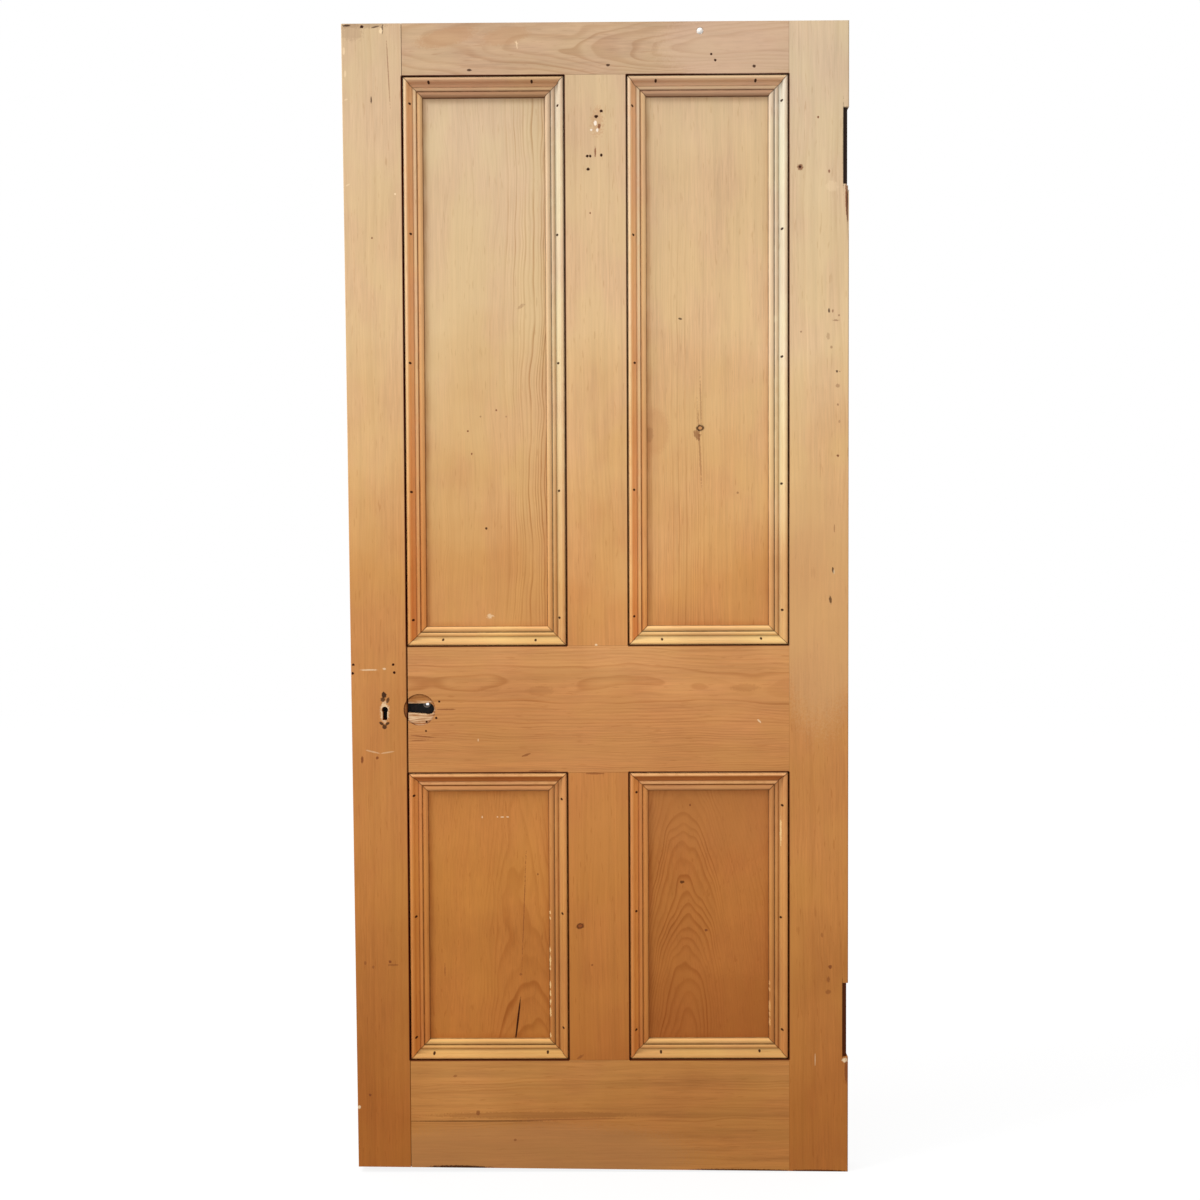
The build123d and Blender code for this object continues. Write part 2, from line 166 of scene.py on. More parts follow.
door_height = 1.981
level = put(old_pine, "SeparateXYZ", {0: given["Vector"]}).outputs["Z"]
level = calc(old_pine, "ADD", level, calc(old_pine, "MULTIPLY_ADD", blotch, 0.4, -0.2))
tone = put(old_pine, "ValToRGB", {0: calc(old_pine, "DIVIDE", level, door_height)})
stops = tone.color_ramp.elements
stops[0].position = 0.05
stops[0].color = srgb(172, 104, 46)
stops[1].position = 0.97
stops[1].color = srgb(206, 178, 140)
stops.new(0.25).color = srgb(193, 127, 63)
stops.new(0.42).color = srgb(197, 133, 74)
stops.new(0.52).color = srgb(209, 150, 88)
stops.new(0.62).color = srgb(216, 169, 112)
stops.new(0.74).color = srgb(219, 183, 135)
pink_shift = (0.98, 0.935, 0.985, 1.0)
latewood_shift = (0.68, 0.54, 0.42, 1.0)
pale = blend(old_pine, 1.0, tone.outputs["Color"], given["Tint"], "MULTIPLY")
pink = blend(old_pine, 1.0, pale, pink_shift, "MULTIPLY")
pale = blend(old_pine, ease(old_pine, mottle, 0.35, 0.65), pale, pink)
deep = blend(old_pine, 1.0, pale, latewood_shift, "MULTIPLY")
dark = calc(old_pine, "MAXIMUM", calc(old_pine, "MULTIPLY", late, given["Line Strength"]), resin)
colour = blend(old_pine, dark, pale, deep)
shade = calc(old_pine, "MULTIPLY", calc(old_pine, "SUBTRACT", streak, 0.5), given["Streak Strength"])
grain = ease(old_pine, mottle, 0.3, 0.7, 0.14, 0.42)
grain = calc(old_pine, "MULTIPLY", grain, ease(old_pine, given["Streak Strength"], 0.1, 0.3, 0.6, 1.0))
grain = calc(old_pine, "MULTIPLY", calc(old_pine, "SUBTRACT", fibre, 0.5), grain)
shade = calc(old_pine, "ADD", shade, grain)
shade = calc(old_pine, "ADD", shade, calc(old_pine, "MULTIPLY_ADD", blotch, 0.3, -0.15))
colour = stretch(old_pine, colour, calc(old_pine, "ADD", shade, 1.0))
old_pine.links.new(colour, gives["Colour"])
old_pine.links.new(fibre, gives["Height"])

# One mark on a board's face: a stain, hole, chip, scratch or painted shade, with a ragged edge.
# It hands its vector on to the next mark, so that a board's marks are laid one after another.
mark, given, gives = start_group(
    "mark",
    {
        "Colour": (1.0, 1.0, 1.0, 1.0),
        "Vector": (0.0, 0.0, 0.0),
        "Speckle": 0.5,
        "Place": (0.0, 0.0, 0.0),
        "Half Size": (0.01, 0.01, 0.01),
        "Turn": 0.0,
        "Ragged": 0.6,
        "Stain": (0.0, 0.0, 0.0, 1.0),
        "Strength": 1.0,
    },
    {"Colour": (1.0, 1.0, 1.0, 1.0), "Vector": (0.0, 0.0, 0.0)},
)
away = vector_calc(mark, "SUBTRACT", given["Vector"], given["Place"])
away = put(
    mark, "VectorRotate", {"Vector": away, "Angle": given["Turn"]}, rotation_type="Y_AXIS"
).outputs["Vector"]
away = vector_calc(mark, "DIVIDE", away, given["Half Size"])
ragged = calc(mark, "MULTIPLY", calc(mark, "SUBTRACT", given["Speckle"], 0.5), given["Ragged"])
reach = calc(mark, "ADD", span(mark, "LENGTH", away), calc(mark, "MULTIPLY", ragged, 2.0))
mask = ease(mark, reach, 0.85, 1.35, 1.0, 0.0)
stained = blend(mark, calc(mark, "MULTIPLY", mask, given["Strength"]), given["Colour"], given["Stain"])
mark.links.new(stained, gives["Colour"])
hairbreadth = 1e-9
nothing = put(mark, "CombineXYZ", {"Y": calc(mark, "MULTIPLY", mask, hairbreadth)}).outputs[0]
mark.links.new(vector_calc(mark, "ADD", given["Vector"], nothing), gives["Vector"])

plain = (1.0, 1.0, 1.0)
everywhere = ((0.0, 0.0, 0.0), (0.0, 0.0, 0.0))


def cut_board(name, pith, turn, spacing, wander, lines, streaks, tint=plain, figure=everywhere):
    """Start a board's material: old pine from its own place in a log, whose middle lies at the pith.

    Spacing and wander are those of the rings, lines and streaks their strength and the fibre's.
    The figure gives the middle of the patch where the rings show most, and one over its half size.
    """
    material = bpy.data.materials.new(name)
    material.use_nodes = True
    tree = material.node_tree
    place = put(tree, "TexCoord").outputs["Object"]
    log = put(tree, "Mapping", {"Vector": place, "Location": pith, "Rotation": turn})
    inputs = {
        "Vector": place,
        "Log": log.outputs["Vector"],
        "Ring Spacing": spacing,
        "Wander": wander,
        "Line Strength": lines,
        "Streak Strength": streaks,
        "Tint": (*tint, 1.0),
        "Figure Middle": figure[0],
        "Figure Reach": figure[1],
    }
    wood = put(tree, "Group", inputs, node_tree=old_pine).outputs
    return {
        "material": material,
        "place": place,
        "turn_by_turn": place,
        "speckle": noise(tree, place, 380.0, 3.0),
        "colour": wood["Colour"],
        "height": wood["Height"],
        "shine": None,
    }


front_y = -0.022
mark_depth = 0.006


def scar(board, spot, half, stain, strength=1.0, turn=0.0, ragged=0.6, face_y=front_y):
    """Lay a mark on a board's face: its middle and half size in x and z, turned against the clock."""
    inputs = {
        "Colour": board["colour"],
        "Vector": board["turn_by_turn"],
        "Speckle": board["speckle"],
        "Place": (spot[0], face_y, spot[1]),
        "Half Size": (half[0], mark_depth, half[1]),
        "Turn": math.radians(turn),
        "Ragged": ragged,
        "Stain": stain,
        "Strength": strength,
    }
    laid = put(board["material"].node_tree, "Group", inputs, node_tree=mark).outputs
    board["colour"] = laid["Colour"]
    board["turn_by_turn"] = laid["Vector"]


def scar_board(board, scars, face_y=front_y):
    """Lay a board's marks, in the order of their list."""
    for values in scars.values():
        scar(board, *values, face_y=face_y)


def run_between(low, high):
    """The middle and half length of a run."""
    return ((low + high) / 2, (high - low) / 2)


# The joints' deep red-brown is partly grime, partly painted shade and warm bounced light in the gaps.
joint_dirt_and_shade = srgb(74, 18, 2)


def edge_grime_and_shade(board, axis, edges, other_axis, runs, strength, reach=0.0022, dirt_and_shade_colour=joint_dirt_and_shade):
    """Dirt and painted shade along a board's arrises beside joints, in runs along the other axis."""
    tree = board["material"].node_tree
    where = put(tree, "SeparateXYZ", {0: board["place"]}).outputs
    beside = 0.0
    for middle, half_length in runs:
        in_run = calc(tree, "COMPARE", where[other_axis], middle, half_length)
        beside = calc(tree, "MAXIMUM", beside, in_run)
    for edge in edges:
        off = calc(tree, "ABSOLUTE", calc(tree, "SUBTRACT", where[axis], edge))
        dirt_and_shade = calc(tree, "MULTIPLY", ease(tree, off, reach / 5, reach, strength, 0.0), beside)
        board["colour"] = blend(tree, dirt_and_shade, board["colour"], dirt_and_shade_colour)


wood_roughness = 0.5
dry_sheen = 0.05
wax_weight = 0.1
wax_roughness = 0.5
fibre_relief = 0.0003


def finish_board(board, *nodes):
    """Join the colour, wax and relief to the shader, and give the material to its CAD nodes."""
    tree = board["material"].node_tree
    shader = tree.nodes["Principled BSDF"]
    shader.inputs["Roughness"].default_value = wood_roughness
    shader.inputs["Specular IOR Level"].default_value = dry_sheen
    if board["shine"]:
        shader.inputs["Specular IOR Level"].default_value = 0.0
        shader.inputs["Coat Roughness"].default_value = wax_roughness
        wax = calc(tree, "MULTIPLY", board["shine"], wax_weight)
        tree.links.new(wax, shader.inputs["Coat Weight"])
    tree.links.new(board["colour"], shader.inputs["Base Color"])
    bump = put(tree, "Bump", {"Height": board["height"], "Strength": 0.4, "Distance": fibre_relief})
    tree.links.new(bump.outputs["Normal"], shader.inputs["Normal"])
    for node in nodes:
        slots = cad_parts[node].data.materials
        slots.clear()
        slots.append(board["material"])


def wax_faces(board):
    """Keep the wax's shine to the two faces, so that the walls of the joints are dry."""
    tree = board["material"].node_tree
    dry_y, waxed_y = 0.0205, 0.0215
    depth = calc(tree, "ABSOLUTE", put(tree, "SeparateXYZ", {0: board["place"]}).outputs["Y"])
    board["shine"] = ease(tree, depth, dry_y, waxed_y)


def rose_floor(board, stain):
    """The floor of the knob's recess: raw wood under the slot and on its lip, with a dark rim of stain
    ring and painted shade under the recess wall.
    """
    tree = board["material"].node_tree
    rose_x, rose_z, rose_radius, face_depth = -0.74026, 0.810, 0.0275, 0.0212
    rim_width = 0.0035
    slot_foot, slot_top = 0.804, 0.822
    lip_core, lip_reach = 0.0015, 0.0042
    where = put(tree, "SeparateXYZ", {0: board["place"]}).outputs
    away = vector_calc(tree, "SUBTRACT", board["place"], (rose_x, 0.0, rose_z))
    reach = span(tree, "LENGTH", vector_calc(tree, "MULTIPLY", away, (1.0, 0.0, 1.0)))
    inside = ease(tree, reach, rose_radius, rose_radius + 0.0006, 1.0, 0.0)
    sunk = calc(tree, "LESS_THAN", calc(tree, "ABSOLUTE", where["Y"]), face_depth)
    inside = calc(tree, "MULTIPLY", inside, sunk)
    torn = noise(tree, board["place"], 130.0, 3.0)
    grain_place = vector_calc(tree, "MULTIPLY", board["place"], (50.0, 300.0, 700.0))
    grain = ease(tree, noise(tree, grain_place, 1.0, 3.0), 0.4, 0.65)
    raw = blend(tree, grain, stain, srgb(168, 108, 62))
    over_slot = calc(tree, "ABSOLUTE", calc(tree, "SUBTRACT", where["Z"], slot_top))
    lip = ease(tree, over_slot, lip_core, lip_reach, 0.95, 0.0)
    lip = calc(tree, "MULTIPLY", lip, ease(tree, torn, 0.3, 0.55, 0.4, 1.0))
    shows = calc(tree, "MAXIMUM", lip, ease(tree, where["Z"], slot_foot, slot_top, 1.0, 0.0))
    dull = blend(tree, 1.0, board["colour"], (0.93, 0.87, 0.82, 1.0), "MULTIPLY")
    raw = blend(tree, shows, dull, raw)
    rim = ease(tree, reach, rose_radius - rim_width, rose_radius, 0.0, 0.85)
    rim = calc(tree, "MULTIPLY", rim, ease(tree, torn, 0.35, 0.6, 0.35, 1.0))
    raw = blend(tree, rim, raw, srgb(104, 54, 26))
    board["colour"] = blend(tree, inside, board["colour"], raw)


hole = srgb(44, 10, 3)
scorch = srgb(42, 25, 20)
rust = srgb(120, 62, 34)
bare = srgb(240, 212, 172)

lock_stile_edge, hinge_stile_edge = -0.762, -0.102
bottom_rail_top, lock_rail_foot = 0.1975, 0.7005
lock_rail_top, top_rail_foot = 0.9195, 1.893
lower_level = run_between(bottom_rail_top, lock_rail_foot)
upper_level = run_between(lock_rail_top, top_rail_foot)
opening_levels = (lower_level, upper_level)
lock_rail_level = run_between(lock_rail_foot, lock_rail_top)
quiet_grain = {"spacing": 0.007, "wander": 0.03, "lines": 0.2, "streaks": 0.2}

lock_stile = cut_board(
    "lock_stile_pine", (1.05, 0.16, 0.0), (0.01, 0.0, 0.0), **quiet_grain, tint=(0.97, 0.98, 0.98)
)
# On the stile the recess floor is a darker brown than on the rail: painted shadow of the recess wall.
rose_floor(lock_stile, srgb(140, 88, 54))
edge_grime_and_shade(lock_stile, "X", (lock_stile_edge,), "Z", opening_levels, 1.0)
edge_grime_and_shade(lock_stile, "X", (lock_stile_edge,), "Z", (lock_rail_level,), 0.75)
lock_stile_scars = {
    "bare wood of the lost keyhole plate": ((-0.8005, 0.8065), (0.0068, 0.0155), bare, 0.72),
    "scorch over the keyhole": ((-0.801, 0.836), (0.0038, 0.0046), scorch, 0.92),
    "scorch left over the keyhole": ((-0.8034, 0.8282), (0.0034, 0.0036), scorch, 0.8),
    "scorch right over the keyhole": ((-0.7948, 0.8265), (0.0022, 0.0044), scorch, 0.75, -20.0),
    "scorch left under the keyhole": ((-0.8060, 0.7866), (0.0036, 0.0022), scorch, 0.85, -35.0),
    "scorch under the keyhole": ((-0.8008, 0.7805), (0.0032, 0.0040), scorch, 0.85),
    "scorch right under the keyhole": ((-0.7957, 0.7862), (0.0034, 0.0021), scorch, 0.85, 35.0),
    "bolt scrape": ((-0.8275, 0.8794), (0.0125, 0.0012), bare, 0.62),
    "bolt nick": ((-0.8005, 0.881), (0.0024, 0.0018), bare, 0.6),
    "bolt hole, upper right": ((-0.785, 0.8885), (0.0021, 0.0021), hole, 0.98),
    "bolt hole, lower right": ((-0.7833, 0.8747), (0.0021, 0.0021), hole, 0.98),
    "bolt hole, upper left": ((-0.854, 0.8886), (0.0021, 0.0021), hole, 0.98),
    "bolt hole, lower left": ((-0.855, 0.8734), (0.0021, 0.0021), hole, 0.98),
    "knob rub, left": ((-0.8215, 0.7375), (0.0115, 0.0011), bare, 0.34, -13.0),
    "knob rub, right": ((-0.797, 0.7362), (0.0105, 0.0011), bare, 0.34, 9.0),
    "dent at the edge": ((-0.840, 0.7235), (0.002, 0.0052), rust, 0.8),
    "dent": ((-0.814, 0.727), (0.0022, 0.0022), rust, 0.8),
    "low dent": ((-0.795, 0.371), (0.0024, 0.0022), rust, 0.8),
    "low scratch": ((-0.790, 0.3655), (0.0085, 0.0016), rust, 0.45),
    "low speck, left": ((-0.8385, 0.369), (0.0018, 0.003), rust, 0.5),
    "low speck, middle": ((-0.8245, 0.362), (0.0018, 0.0024), rust, 0.5),
    "foot speck": ((-0.832, 0.137), (0.0024, 0.0022), rust, 0.8),
    "chip at the foot": ((-0.8515, 0.1155), (0.0024, 0.0028), bare, 0.8),
    "weathered head": ((-0.846, 1.968), (0.016, 0.014), srgb(152, 122, 96), 0.34, 0.0, 0.9),
    "weathered corner": ((-0.826, 1.978), (0.036, 0.004), srgb(152, 122, 96), 0.45, 0.0, 1.2),
    "crack along the head": ((-0.8548, 1.9778), (0.0068, 0.0014), hole, 0.85),
    "nail in the head": ((-0.8284, 1.9756), (0.0025, 0.0025), hole, 0.98),
    "short crack in the head": ((-0.806, 1.9752), (0.006, 0.0012), hole, 0.7, 12.0),
    "stepped crack": ((-0.7935, 1.972), (0.0011, 0.0078), hole, 0.7),
    "sliver by the stepped crack": ((-0.7962, 1.9685), (0.0026, 0.004), bare, 0.7),
    "hairline": ((-0.784, 1.898), (0.0009, 0.05), rust, 0.5, 2.7),
    "tick": ((-0.8135, 1.852), (0.0011, 0.0055), hole, 0.8),
    "small tick": ((-0.8145, 1.619), (0.0013, 0.0016), rust, 0.8),
    "pale speck": ((-0.774, 1.6933), (0.0015, 0.0015), bare, 0.8),
    "chipped arris at the head": ((-0.8595, 1.935), (0.0018, 0.006), bare, 0.5),
    "chipped arris under it": ((-0.8575, 1.896), (0.0017, 0.005), bare, 0.45),
    "chipped arris lower down": ((-0.8568, 1.853), (0.003, 0.0012), bare, 0.45, 25.0),
    "chipped arris, last": ((-0.855, 1.709), (0.0034, 0.0012), bare, 0.45, 25.0),
}
scar_board(lock_stile, lock_stile_scars)
wax_faces(lock_stile)
finish_board(lock_stile, "lock_stile")

hinge_stile = cut_board(
    "hinge_stile_pine", (0.25, 0.2, 3.0), (0.0, 0.01, 0.0), **quiet_grain, tint=(1.03, 1.1, 1.18)
)
full_height = run_between(0.0, door_height)
edge_grime_and_shade(hinge_stile, "X", (hinge_stile_edge,), "Z", opening_levels, 0.8, 0.0019)
# Along the hinge edge the greyer line is painted shade where the arris turns away from the light.
edge_grime_and_shade(hinge_stile, "X", (0.0,), "Z", (full_height,), 0.5, 0.0022, srgb(104, 74, 56))
hinge_stile_scars = {
    "faded middle": ((-0.05, 1.0), (0.07, 0.2), srgb(212, 170, 122), 0.4, 0.0, 0.3),
    "brown spot": ((-0.0833, 1.7347), (0.0045, 0.0052), rust, 0.75),
    "heart of the brown spot": ((-0.0838, 1.7352), (0.0022, 0.0022), hole, 0.88),
    "speck by the upper hinge": ((-0.0528, 1.8187), (0.0014, 0.0016), rust, 0.9),
    "short mark by the upper hinge": ((-0.034, 1.7276), (0.0013, 0.003), rust, 0.8),
    "pale rub": ((-0.0289, 1.7023), (0.009, 0.008), bare, 0.3),
    "stain in the split": ((-0.0035, 1.676), (0.0024, 0.03), rust, 0.9, 2.0),
    "raw edge of the split": ((-0.0008, 1.664), (0.0012, 0.034), bare, 0.5),
    # The dark lips beside the hinge recesses are painted shade, laid in the scorch colour.
    "painted shade at the lip of the upper recess": ((-0.0098, 1.771), (0.0012, 0.066), scorch, 0.5),
    "worm hole": ((-0.0341, 1.4917), (0.0015, 0.0034), hole, 0.8),
    "worm hole beside it": ((-0.0276, 1.4908), (0.0013, 0.003), rust, 0.65),
    "faint worm hole": ((-0.0172, 1.4835), (0.0014, 0.0014), rust, 0.55),
    "row of faint worm holes": ((-0.0222, 1.4752), (0.0042, 0.0012), rust, 0.5, 0.0, 1.4),
    "worm hole on the left": ((-0.0817, 1.4558), (0.0014, 0.0014), rust, 0.6),
    "smudge under the worm holes": ((-0.0352, 1.4485), (0.0026, 0.005), rust, 0.3),
    "low smudge": ((-0.0298, 1.4296), (0.0018, 0.0022), rust, 0.45),
    "small worm hole": ((-0.0204, 1.3882), (0.0019, 0.0018), hole, 0.83),
    "small worm hole beside it": ((-0.0156, 1.388), (0.001, 0.0011), rust, 0.6),
    "smudge by the edge": ((-0.019, 1.3636), (0.003, 0.003), rust, 0.4),
    "speck by the edge": ((-0.0187, 1.3315), (0.0013, 0.0019), rust, 0.6),
    "faint speck by the edge": ((-0.0161, 1.3028), (0.0016, 0.0024), rust, 0.35),
    "low worm hole": ((-0.0186, 1.2445), (0.002, 0.0019), rust, 0.85),
    "short crack": ((-0.0246, 1.1195), (0.001, 0.0062), rust, 0.45),
    "upper nail": ((-0.0269, 1.0478), (0.0015, 0.0056), hole, 0.8, 8.0),
    "raw wood by the upper nail": ((-0.0254, 1.0452), (0.0014, 0.0038), bare, 0.45),
    "lower nail": ((-0.0312, 0.9975), (0.002, 0.0062), hole, 0.75, 6.0),
    "upper speck": ((-0.0452, 0.4158), (0.0022, 0.0035), rust, 0.35),
    "speck over the lower hinge": ((-0.0312, 0.3599), (0.0028, 0.003), rust, 0.75),
    "smudge over the lower hinge": ((-0.0345, 0.338), (0.0025, 0.0045), rust, 0.5),
    "smudge by the lower hinge": ((-0.0346, 0.3161), (0.0045, 0.0035), rust, 0.45),
    # Painted shade again at the lip of the lower recess.
    "painted shade at the lip of the lower recess": ((-0.0098, 0.267), (0.001, 0.066), scorch, 0.5),
    "splinter under the lower hinge": ((-0.0058, 0.1965), (0.0042, 0.0034), bare, 0.9),
    "bruise under the splinter": ((-0.0035, 0.176), (0.0024, 0.018), rust, 0.7),
    "pale scratch": ((-0.0572, 0.197), (0.0007, 0.010), bare, 0.45),
    "dark foot": ((-0.05, 0.0016), (0.045, 0.0018), hole, 0.75, -0.7),
}
scar_board(hinge_stile, hinge_stile_scars)
wax_faces(hinge_stile)
finish_board(hinge_stile, "hinge_stile")

# Rails: the level boards that tie the stiles, tenoned through them and wedged.
# Their grain runs across the door, with peaked figure on the top and lock rails.
quarter_turn = math.pi / 2


def level_log(lean):
    """Turn a log to lie along the door's width, its pith leaning off the front towards the hinges."""
    return (quarter_turn, lean - quarter_turn, 0.0)


def end_grain(board):
    """The ends of the tenons show on the door's edges, darker where wax soaks into the end grain."""
    tree = board["material"].node_tree
    middle_x, end_reach = -0.432, 0.39
    across = put(tree, "SeparateXYZ", {0: board["place"]}).outputs["X"]
    from_middle = calc(tree, "ABSOLUTE", calc(tree, "SUBTRACT", across, middle_x))
    ends = calc(tree, "GREATER_THAN", from_middle, end_reach)
    soaked = blend(tree, 1.0, board["colour"], (0.70, 0.56, 0.45, 1.0), "MULTIPLY")
    board["colour"] = blend(tree, ends, board["colour"], soaked)


muntin_left, muntin_right = -0.4845, -0.3795
left_span = run_between(lock_stile_edge, muntin_left)
right_span = run_between(muntin_right, hinge_stile_edge)
opening_spans = (left_span, right_span)
shoulder_reach = 0.0012

top_rail = cut_board(
    "top_rail_pine",
    (0.0, 1.947, 0.3),
    level_log(-0.075),
    spacing=0.0055,
    wander=0.06,
    lines=0.6,
    streaks=0.3,
    tint=(0.86, 0.81, 0.82),
)
shoulders = (lock_stile_edge, hinge_stile_edge)
top_rail_level = run_between(top_rail_foot, door_height)
edge_grime_and_shade(top_rail, "Z", (top_rail_foot,), "X", opening_spans, 0.9, 0.0013)
edge_grime_and_shade(top_rail, "X", shoulders, "Z", (top_rail_level,), 0.55, shoulder_reach)
top_rail_scars = {
    "flame by the lock stile": ((-0.685, 1.957), (0.046, 0.013), srgb(182, 138, 100), 0.5, 12.0, 0.5),
    "second flame": ((-0.584, 1.958), (0.036, 0.013), srgb(182, 138, 100), 0.42, 10.0, 0.5),
    "paler end": ((-0.19, 1.94), (0.12, 0.05), srgb(214, 182, 158), 0.35, 0.0, 0.3),
    "upper nail hole": ((-0.2344, 1.9258), (0.0018, 0.0018), hole, 0.95),
    "lower nail hole": ((-0.2277, 1.9157), (0.0019, 0.002), hole, 0.95),
    "nail hole by the hinges": ((-0.1614, 1.9052), (0.0026, 0.0022), hole, 0.9),
    "nail hole over the muntin": ((-0.4095, 1.9085), (0.003, 0.002), hole, 0.85),
    "nail hole by the lock stile": ((-0.6461, 1.9016), (0.0034, 0.002), hole, 0.85),
    "pale scratch": ((-0.565, 1.944), (0.0010, 0.0065), bare, 0.5, 8.0),
    "pale cross scratch": ((-0.5655, 1.947), (0.0034, 0.0009), bare, 0.4, -30.0),
}
scar_board(top_rail, top_rail_scars)
end_grain(top_rail)
wax_faces(top_rail)
finish_board(top_rail, "top_rail")

lock_rail = cut_board(
    "lock_rail_pine",
    (0.04, 0.85, 0.0),
    level_log(0.0),
    spacing=0.0034,
    wander=0.036,
    lines=0.6,
    streaks=0.3,
    tint=(1.05, 1.13, 1.3),
)
rose_floor(lock_rail, srgb(226, 188, 146))
edge_grime_and_shade(lock_rail, "Z", (lock_rail_foot, lock_rail_top), "X", opening_spans, 0.9)
edge_grime_and_shade(lock_rail, "X", (lock_stile_edge,), "Z", (lock_rail_level,), 0.8)
eye = srgb(158, 98, 54)
lock_rail_scars = {
    "screw hole right of the knob": ((-0.706, 0.8243), (0.0018, 0.0018), hole, 0.98),
    "screw hole in the recess": ((-0.7288, 0.7889), (0.0019, 0.0019), hole, 0.98),
    "screw hole by the slot": ((-0.7114, 0.7958), (0.0018, 0.0018), hole, 0.98),
    "screw hole under the recess": ((-0.7289, 0.7733), (0.0016, 0.0016), hole, 0.88),
    "shake under the recess": ((-0.736, 0.764), (0.018, 0.0009), rust, 0.6, -6.0),
    "second shake under the recess": ((-0.742, 0.757), (0.015, 0.0008), rust, 0.5, 4.0),
    "shake right of the recess": ((-0.695, 0.8105), (0.016, 0.0011), rust, 0.6),
    "eye by the muntin": ((-0.531, 0.842), (0.021, 0.0075), eye, 0.25, 0.0, 0.5),
    "eye by the knob": ((-0.618, 0.846), (0.017, 0.005), eye, 0.22, 0.0, 0.5),
    "eye by the hinges": ((-0.178, 0.846), (0.021, 0.006), eye, 0.28, 0.0, 0.5),
    "pale chip": ((-0.1539, 0.7884), (0.0038, 0.0013), bare, 0.65, -45.0),
    "pale fleck": ((-0.6391, 0.7574), (0.0010, 0.0020), bare, 0.5),
    "dash": ((-0.5563, 0.731), (0.0075, 0.0016), rust, 0.6, 18.0),
    "lip over the lower left panel": ((-0.530, 0.7035), (0.022, 0.0013), rust, 0.5),
}
scar_board(lock_rail, lock_rail_scars)
end_grain(lock_rail)
wax_faces(lock_rail)
finish_board(lock_rail, "lock_rail")

bottom_rail = cut_board(
    "bottom_rail_pine",
    (0.12, 0.36, 0.0),
    level_log(0.02),
    spacing=0.008,
    wander=0.05,
    lines=0.4,
    streaks=0.5,
    tint=(1.15, 1.43, 1.85),
)
bottom_rail_level = run_between(0.0, bottom_rail_top)
edge_grime_and_shade(bottom_rail, "Z", (bottom_rail_top,), "X", opening_spans, 0.9)
edge_grime_and_shade(bottom_rail, "X", (lock_stile_edge,), "Z", (bottom_rail_level,), 0.5, shoulder_reach)
bottom_rail_scars = {
    "bleached foot": ((-0.56, 0.03), (0.26, 0.05), srgb(172, 122, 76), 0.5, 0.0, 0.3),
    "shake": ((-0.650, 0.0905), (0.115, 0.0011), hole, 0.6, 0.0, 0.3),
    "end of the shake": ((-0.490, 0.093), (0.09, 0.0009), rust, 0.45, 1.0, 0.3),
    "stain over the shake": ((-0.540, 0.101), (0.16, 0.005), srgb(140, 88, 44), 0.42, 0.0, 0.5),
    "speck over the shake": ((-0.6439, 0.1048), (0.0034, 0.0038), rust, 0.6),
    "high speck": ((-0.6835, 0.170), (0.0028, 0.002), rust, 0.5),
    "low speck": ((-0.5797, 0.057), (0.0022, 0.0018), rust, 0.6),
    # A dark line of painted shadow along the foot, laid in the hole colour.
    "painted shadow line at the foot": ((-0.676, 0.0092), (0.046, 0.0028), hole, 0.9, -0.7),
    "dark foot towards the hinges": ((-0.185, 0.0032), (0.075, 0.0018), hole, 0.75, -0.7),
}
scar_board(bottom_rail, bottom_rail_scars)
end_grain(bottom_rail)
wax_faces(bottom_rail)
finish_board(bottom_rail, "bottom_rail")

# Muntins: the two short uprights between the panels, stub-tenoned into the rails.
# Quiet upright grain. The upper one keeps the holes and filler of a lost hook, the lower a knot.
filler = srgb(246, 232, 214)
upper_muntin = cut_board("upper_muntin_pine", (0.7, 0.2, 7.0), (0.0, 0.01, 0.0), **quiet_grain)
edge_grime_and_shade(upper_muntin, "X", (muntin_left,), "Z", opening_levels, 0.95)
edge_grime_and_shade(upper_muntin, "X", (muntin_right,), "Z", opening_levels, 0.95, 0.0016)
upper_muntin_scars = {
    "rubbed patch": ((-0.4285, 1.814), (0.009, 0.021), srgb(192, 146, 108), 0.45, 0.0, 1.4),
    "hook hole": ((-0.4218, 1.8312), (0.0022, 0.0022), hole, 0.98),
    "lower hook hole": ((-0.4303, 1.822), (0.0028, 0.0025), hole, 0.98),
    "filler": ((-0.432, 1.811), (0.0023, 0.0036), filler, 0.9),
    "lower filler": ((-0.4287, 1.7992), (0.002, 0.0026), filler, 0.85),
    "filler on the left": ((-0.4389, 1.7993), (0.0017, 0.0017), filler, 0.8),
    "broken wood": ((-0.4253, 1.806), (0.0024, 0.0036), rust, 0.8),
    "screw hole, left": ((-0.446, 1.7555), (0.0021, 0.0021), hole, 0.98),
    "screw hole beside it": ((-0.4407, 1.7555), (0.0021, 0.0021), hole, 0.98),
    "split": ((-0.4323, 1.762), (0.0013, 0.0075), rust, 0.8),
    "screw hole, right": ((-0.4221, 1.757), (0.0022, 0.0022), hole, 0.98),
    "screw hole, low": ((-0.4444, 1.7335), (0.0024, 0.0024), hole, 0.98),
    "speck": ((-0.4413, 1.659), (0.0013, 0.0015), rust, 0.8),
    "chip at the lock rail": ((-0.4345, 0.921), (0.002, 0.0018), bare, 0.8),
}
scar_board(upper_muntin, upper_muntin_scars)
wax_faces(upper_muntin)
finish_board(upper_muntin, "upper_muntin")

